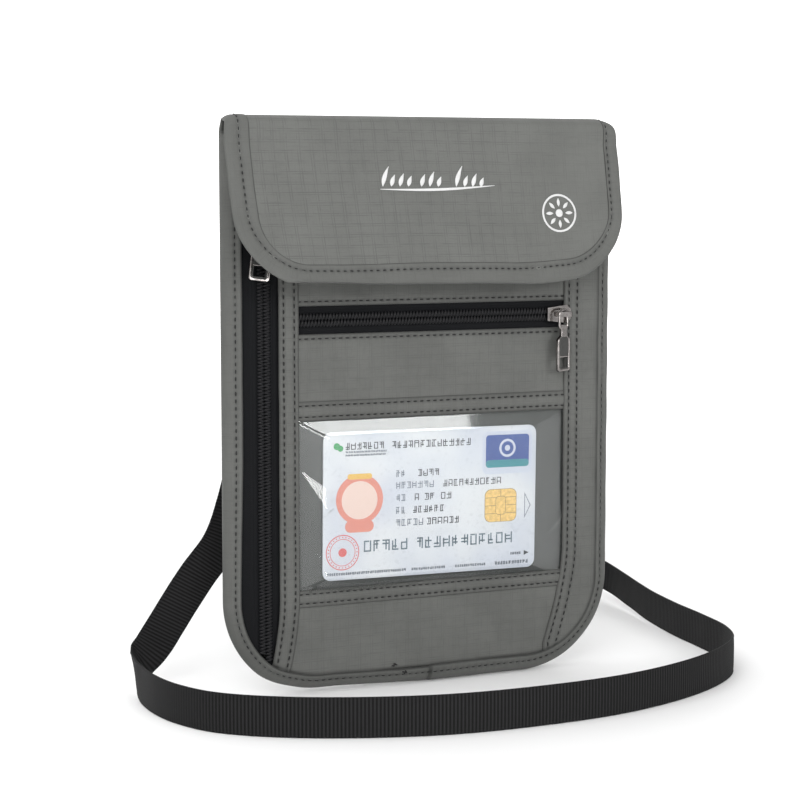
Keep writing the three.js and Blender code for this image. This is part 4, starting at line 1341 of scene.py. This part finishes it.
def add_coil(name, node, along, sign, material, phase):
    """One coil of a zip: a flattened spiral of nylon. along is its axis, 0 for X or 2 for Z, and
    sign is the side of the middle that it is on."""
    bottom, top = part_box(node)
    across = 2 - along
    start, end = bottom[along] + COIL_WIRE, top[along] - COIL_WIRE
    wide = (top[across] - bottom[across]) / 2 + 0.12 * MM
    centre = (top[across] + bottom[across]) / 2 - sign * 0.16 * MM
    deep = (top.y - bottom.y) / 2
    turns = (end - start) / COIL_PITCH
    t = np.linspace(0, 2 * math.pi * turns, int(turns * 14)) + phase
    c, s = np.cos(t), np.sin(t)
    line = np.zeros((len(t), 3))
    line[:, along] = np.linspace(start, end, len(t))
    line[:, across] = centre + (wide - COIL_WIRE) * np.sign(c) * np.abs(c) ** 0.8
    line[:, 1] = (bottom.y + top.y) / 2 + (deep - COIL_WIRE) * np.sign(s) * np.abs(s) ** 0.7
    radial = np.zeros_like(line)
    radial[:, across] = c
    radial[:, 1] = s
    axis = np.zeros(3)
    axis[along] = 1.0
    turn = circle(6)[None, :, None]
    rings = line[:, None] + COIL_WIRE * (np.cos(turn) * radial[:, None] + np.sin(turn) * axis)
    piece(swept(name, rings, material), "root", "zip_coil", node)


def add_tape(name, node, along, sign, material):
    """One zip tape, with two raised cords beside the coil."""
    bottom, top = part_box(node)
    across = 2 - along
    n = int((top[along] - bottom[along]) / (1.2 * MM))
    near = bottom[across] if sign > 0 else top[across]
    far = top[across] if sign > 0 else bottom[across]
    if along == 2 and sign < 0:
        far -= 2.5 * MM  # on under the binding, which is narrower lower down
    share = np.linspace(0, 1, 34)
    a = near + share * (far - near)
    away = np.abs(a - near)
    cords = 0.22 * MM * np.exp(-(((away - 3.0 * MM) / (0.35 * MM)) ** 2))
    cords += 0.14 * MM * np.exp(-(((away - 4.2 * MM) / (0.3 * MM)) ** 2))
    b = np.linspace(bottom[along], top[along], n)
    av, bv = np.meshgrid(a, b, indexing="ij")
    if along == 2:
        bv = np.maximum(bv, foot(av))
    points = np.zeros((*av.shape, 3))
    points[:, :, across] = av
    points[:, :, along] = bv
    points[:, :, 1] = bottom.y - cords[:, None] + 0.06 * MM * ripples(av, bv, 14 * MM, 21)
    if along == 2:
        points[:, :, 1] += 1.2 * MM * smooth((6.2 * MM - edge_distance(av, bv)) / (2.6 * MM))
    facing = normals(points)[5, 5, 1]
    if facing > 0:
        points, av, bv = points[::-1], av[::-1], bv[::-1]
    weave = np.stack([av, bv], axis=2)
    piece(sheet_of(name, points, 0.35 * MM, material, weave), "root", "zip_tape", node)


def add_zips(tape, nylon):
    for run, side, along, sign in (
        ("side", "outer", 2, -1),
        ("side", "inner", 2, 1),
        ("front", "upper", 0, 1),
        ("front", "lower", 0, -1),
    ):
        add_tape(f"{run}_tape_{side}", f"{run}_zip_tape_{side}", along, sign, tape)
        phase = 0 if sign < 0 else math.pi
        add_coil(f"{run}_teeth_{side}", f"{run}_zip_coil_{side}", along, sign, nylon, phase)


TAB_WIDTH, TAB_LENGTH, TAB_NECK, TAB_THICK = 7.6 * MM, 17.4 * MM, 3.4 * MM, 1.3 * MM
LINK_DROP = 7.3 * MM  # from the link's hook to the tab's eye


def tab_outline(inset=0.0):
    """A bottle: an eye end, a neck, round shoulders and a square foot."""
    half, neck, top = TAB_WIDTH / 2 - inset, TAB_NECK / 2 - inset, 1.8 * MM - inset
    end = 1.8 * MM - TAB_LENGTH + inset
    shoulder = bezier((neck, -2.0 * MM), (neck, -3.1 * MM), (half, -2.6 * MM), (half, -4.6 * MM), 9)
    cut = 0.7 * MM
    right = [(neck, top), *map(tuple, shoulder), (half, end + cut), (half - cut, end)]
    return right + [(-x, z) for x, z in right[::-1]]


def add_pull(zip_name, hook, turn, lean, metal, face_metal):
    """The link and tab of a zip, drawn hanging from the origin and then moved to their hook. turn
    is about the upright axis, and lean swings the lower end to the left, in degrees."""
    end = 1.8 * MM - TAB_LENGTH
    window = rounded_box(-2.3 * MM, 2.3 * MM, end + 1.5 * MM, end + 5.2 * MM, 0.3 * MM, 3)
    hole = rounded_box(-0.95 * MM, 0.95 * MM, -0.75 * MM, 0.75 * MM, 0.7 * MM, 5)
    plate_edges = [tab_outline(0.25 * MM), hole, window]
    plate = flat_solid("tab", plate_edges, TAB_THICK - 0.5 * MM, 0.15 * MM, face_metal)
    panel_edge = [(x, z) for x, z in tab_outline(0.95 * MM) if z < -2.6 * MM]
    rim = flat_solid("rim", [tab_outline(), panel_edge], TAB_THICK, 0.28 * MM, metal)
    sill = rounded_box(-2.8 * MM, 2.8 * MM, end + 5.2 * MM, end + 5.8 * MM, 0.25 * MM, 3)
    bar = flat_solid("bar", [sill], TAB_THICK - 0.2 * MM, 0.2 * MM, metal)
    tab = joined(f"{zip_name}_tab_metal", [rim, plate, bar])
    loop = [(x, 0.0, z) for x, z in rounded_box(-2.5 * MM, 2.5 * MM, -LINK_DROP, 0.0, 2.0 * MM, 7)]
    link = wire_ring(f"{zip_name}_link_wire", loop, 0.5 * MM, metal)
    turned = Matrix.Rotation(math.radians(turn), 4, "Z") @ Matrix.Rotation(math.radians(lean), 4, "Y")
    hung = Matrix.Translation(Vector(hook) * MM) @ turned
    tab.data.transform(hung @ Matrix.Translation((0, 0, -LINK_DROP)))
    link.data.transform(hung)
    body = zip_name.replace("_zip", "")
    piece(tab, f"{body}_tab", "gunmetal", f"{zip_name}_tab")
    piece(link, f"{body}_link", "gunmetal", f"{zip_name}_link")


def finish_node(node, material, rounding):
    """A CAD node that stays: a detailed material and softened edges."""
    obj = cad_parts[node]
    if not obj.data.materials:
        obj.data.materials.append(material)
    obj.material_slots[0].material = material
    places = np.array([v.co[:] for v in obj.data.vertices], np.float32)
    flat = obj.data.attributes.new("weave", "FLOAT_VECTOR", "POINT")
    flat.data.foreach_set("vector", places[:, (0, 2, 1)].ravel())
    if rounding:
        bevel = obj.modifiers.new("soft_edges", "BEVEL")
        bevel.width = rounding
        bevel.segments = 3
        bevel.limit_method = "ANGLE"
        bevel.angle_limit = math.radians(35)
        bevel.harden_normals = True


# ---------- marks on the flap ----------
def add_marks(white):
    """Plain printed marks: three groups of slanting leaves over a sweep, and a wheel of leaves."""
    strokes = []

    def stroke(points, widths):
        points = np.array(points, float) * MM
        line = cover(points[:, 0], points[:, 1], 0.05 * MM)
        up = cover_normal(points[:, 0], points[:, 1])
        along = unit(np.gradient(line, axis=0))
        side = unit(np.cross(along, up))
        profile = np.array([(-1, -0.6), (-0.85, 0.9), (0.85, 0.9), (1, -0.6)])
        wide = np.asarray(widths)[:, None] * profile[:, 0] * MM
        height = profile[:, 1] * 0.05 * MM
        rings = line[:, None] + wide[:, :, None] * side[:, None] + height[None, :, None] * up[:, None]
        strokes.append(swept("stroke", rings, white))

    t = np.linspace(0, 1, 15)
    leaf = 0.08 + 0.75 * np.sin(math.pi * t**0.8) ** 1.2
    groups = ((-20.5, (7.2, 4.2, 4.6, 3.8)), (-5.5, (4.4, 5.4, 3.6)), (8.2, (7.6, 4.0, 4.8, 3.4)))
    for start, talls in groups:
        for k, tall in enumerate(talls):
            x0 = start + 3.3 * k
            stroke(np.stack([x0 + 0.42 * tall * t**1.4, -22.4 + tall * t], axis=1), leaf)
    sweep = np.stack([-21.6 + 45.4 * t, -23.4 + 1.6 * t**2 - 0.5 * np.sin(math.pi * t)], axis=1)
    stroke(sweep, 0.1 + 0.4 * np.sin(math.pi * t))

    def spot(radius, turn):
        return 50.2 + radius * math.cos(turn), -32.0 + radius * math.sin(turn)

    turns = np.linspace(0, 2 * math.pi, 33)
    stroke([spot(6.9, a) for a in turns], np.full(33, 0.4))
    spoke = 0.1 + 0.55 * np.sin(math.pi * np.linspace(0, 1, 8))
    for a in turns[:-1:4]:
        stroke([spot(r, a) for r in np.linspace(2.6, 5.6, 8)], spoke)
    stroke([spot(0.75, a) for a in turns], np.full(33, 0.75))
    marks = joined("flap_print", strokes)
    bent(marks, "fold", "flap", FLAP_BEND, "pouch_fabric")


# ---------- studio ----------
def add_studio():
    """A white floor, a bright backdrop, a white sky and four softboxes."""
    corners = [(-3.0, -3.0, 0.0), (3.0, -3.0, 0.0), (3.0, 2.6, 0.0), (-3.0, 2.6, 0.0)]
    floor = make("floor", corners, [(0, 1, 2, 3)], studio_white("floor_white", 0.7, 0.25, 1.1))
    corners = [(-3.0, 2.6, -0.1), (3.0, 2.6, -0.1), (3.0, 2.6, 3.0), (-3.0, 2.6, 3.0)]
    backdrop = make("backdrop", corners, [(0, 1, 2, 3)], studio_white("backdrop_white", 0.7))
    world = bpy.data.worlds.new("studio")
    world.use_nodes = True
    world.node_tree.nodes["Background"].inputs["Color"].default_value = (1.0, 1.0, 1.0, 1)
    world.node_tree.nodes["Background"].inputs["Strength"].default_value = 0.58
    bpy.context.scene.world = world
    add_softbox("overhead", (-0.45, 0.15, 1.3), (0.0, 0.1, 0.0), (1.4, 1.4), 10)
    add_softbox("key", (-0.8, -1.2, 0.8), (0.0, 0.0, 0.1), (0.9, 0.9), 13)
    add_softbox("window_glint", (0.32, -1.1, 0.44), (0.0, 0.0, 0.09), (0.436, 0.24), 4.2)
    add_softbox("crease_glint", (0.125, -1.1, 0.09), (0.0, 0.0, 0.08), (0.4, 0.1), 1.5)


def add_softbox(name, place, target, size, watts):
    data = bpy.data.lights.new(name, "AREA")
    data.shape = "RECTANGLE"
    data.size, data.size_y = size
    data.energy = watts
    light = bpy.data.objects.new(name, data)
    light.location = place
    light.rotation_euler = (Vector(target) - Vector(place)).to_track_quat("-Z", "Y").to_euler()
    bpy.context.scene.collection.objects.link(light)


# ---------- all of it ----------
def build():
    bpy.context.scene.view_settings.view_transform = "Standard"
    add_camera()
    add_studio()
    strap_cloth = webbing()
    plastic = black_plastic()
    add_strap(strap_cloth)
    finish_node("strap_anchor_loop", strap_cloth, 0.15 * MM)
    finish_node("strap_ring", plastic, 0.35 * MM)
    finish_node("strap_adjuster", plastic, 0.3 * MM)

    grey = (0.108, 0.11, 0.104)
    cloth = woven("ripstop", grey, grid=0.5, faded=(10 * MM, 60 * MM))
    front_cloth = woven("front_cloth", shade(grey, 0.905), grid=0.25, wander=0.02)
    tape = woven("binding_tape", shade(grey, 0.86), thread=0.3 * MM)
    inner_cloth = woven("pocket_cloth", (0.1, 0.103, 0.102), thread=0.26 * MM, roughness=0.75)
    shield = woven("shield_cloth", (0.33, 0.34, 0.34), thread=0.28 * MM, roughness=0.42, sheen=0.05)
    thread = woven("thread", (0.016, 0.016, 0.016), thread=0.2 * MM, roughness=0.7)
    add_flap(cloth, shield, tape, thread, touch_tape("hook_pile", (0.025, 0.025, 0.027), 0.9 * MM))
    add_back(cloth, shield, tape, thread)
    add_front(front_cloth, inner_cloth, thread)
    add_film(clear_film())
    add_card(card_stock())
    add_zips(zip_tape(), coil_nylon())
    metal = gunmetal()
    add_pull("side_zip", (-62.4, -6.2, 172.6), 0, 7, metal, tab_face())
    add_pull("front_zip", (54.2, -7.45, 137.2), 26, 0, metal, tab_face())
    finish_node("side_zip_slider", metal, 0.2 * MM)
    finish_node("front_zip_slider", metal, 0.2 * MM)
    for node in ("rear_shield_lining", "divider_shield_lining"):
        finish_node(node, shield, 0)
    finish_node("mouth_binding", tape, 0.3 * MM)
    finish_node("loop_tape", touch_tape("loop_pile", (0.02, 0.02, 0.022), 0.5 * MM), 0.3 * MM)
    add_marks(ink("flap_ink", (0.62, 0.62, 0.62), 0.6, on_cloth=True))


build()
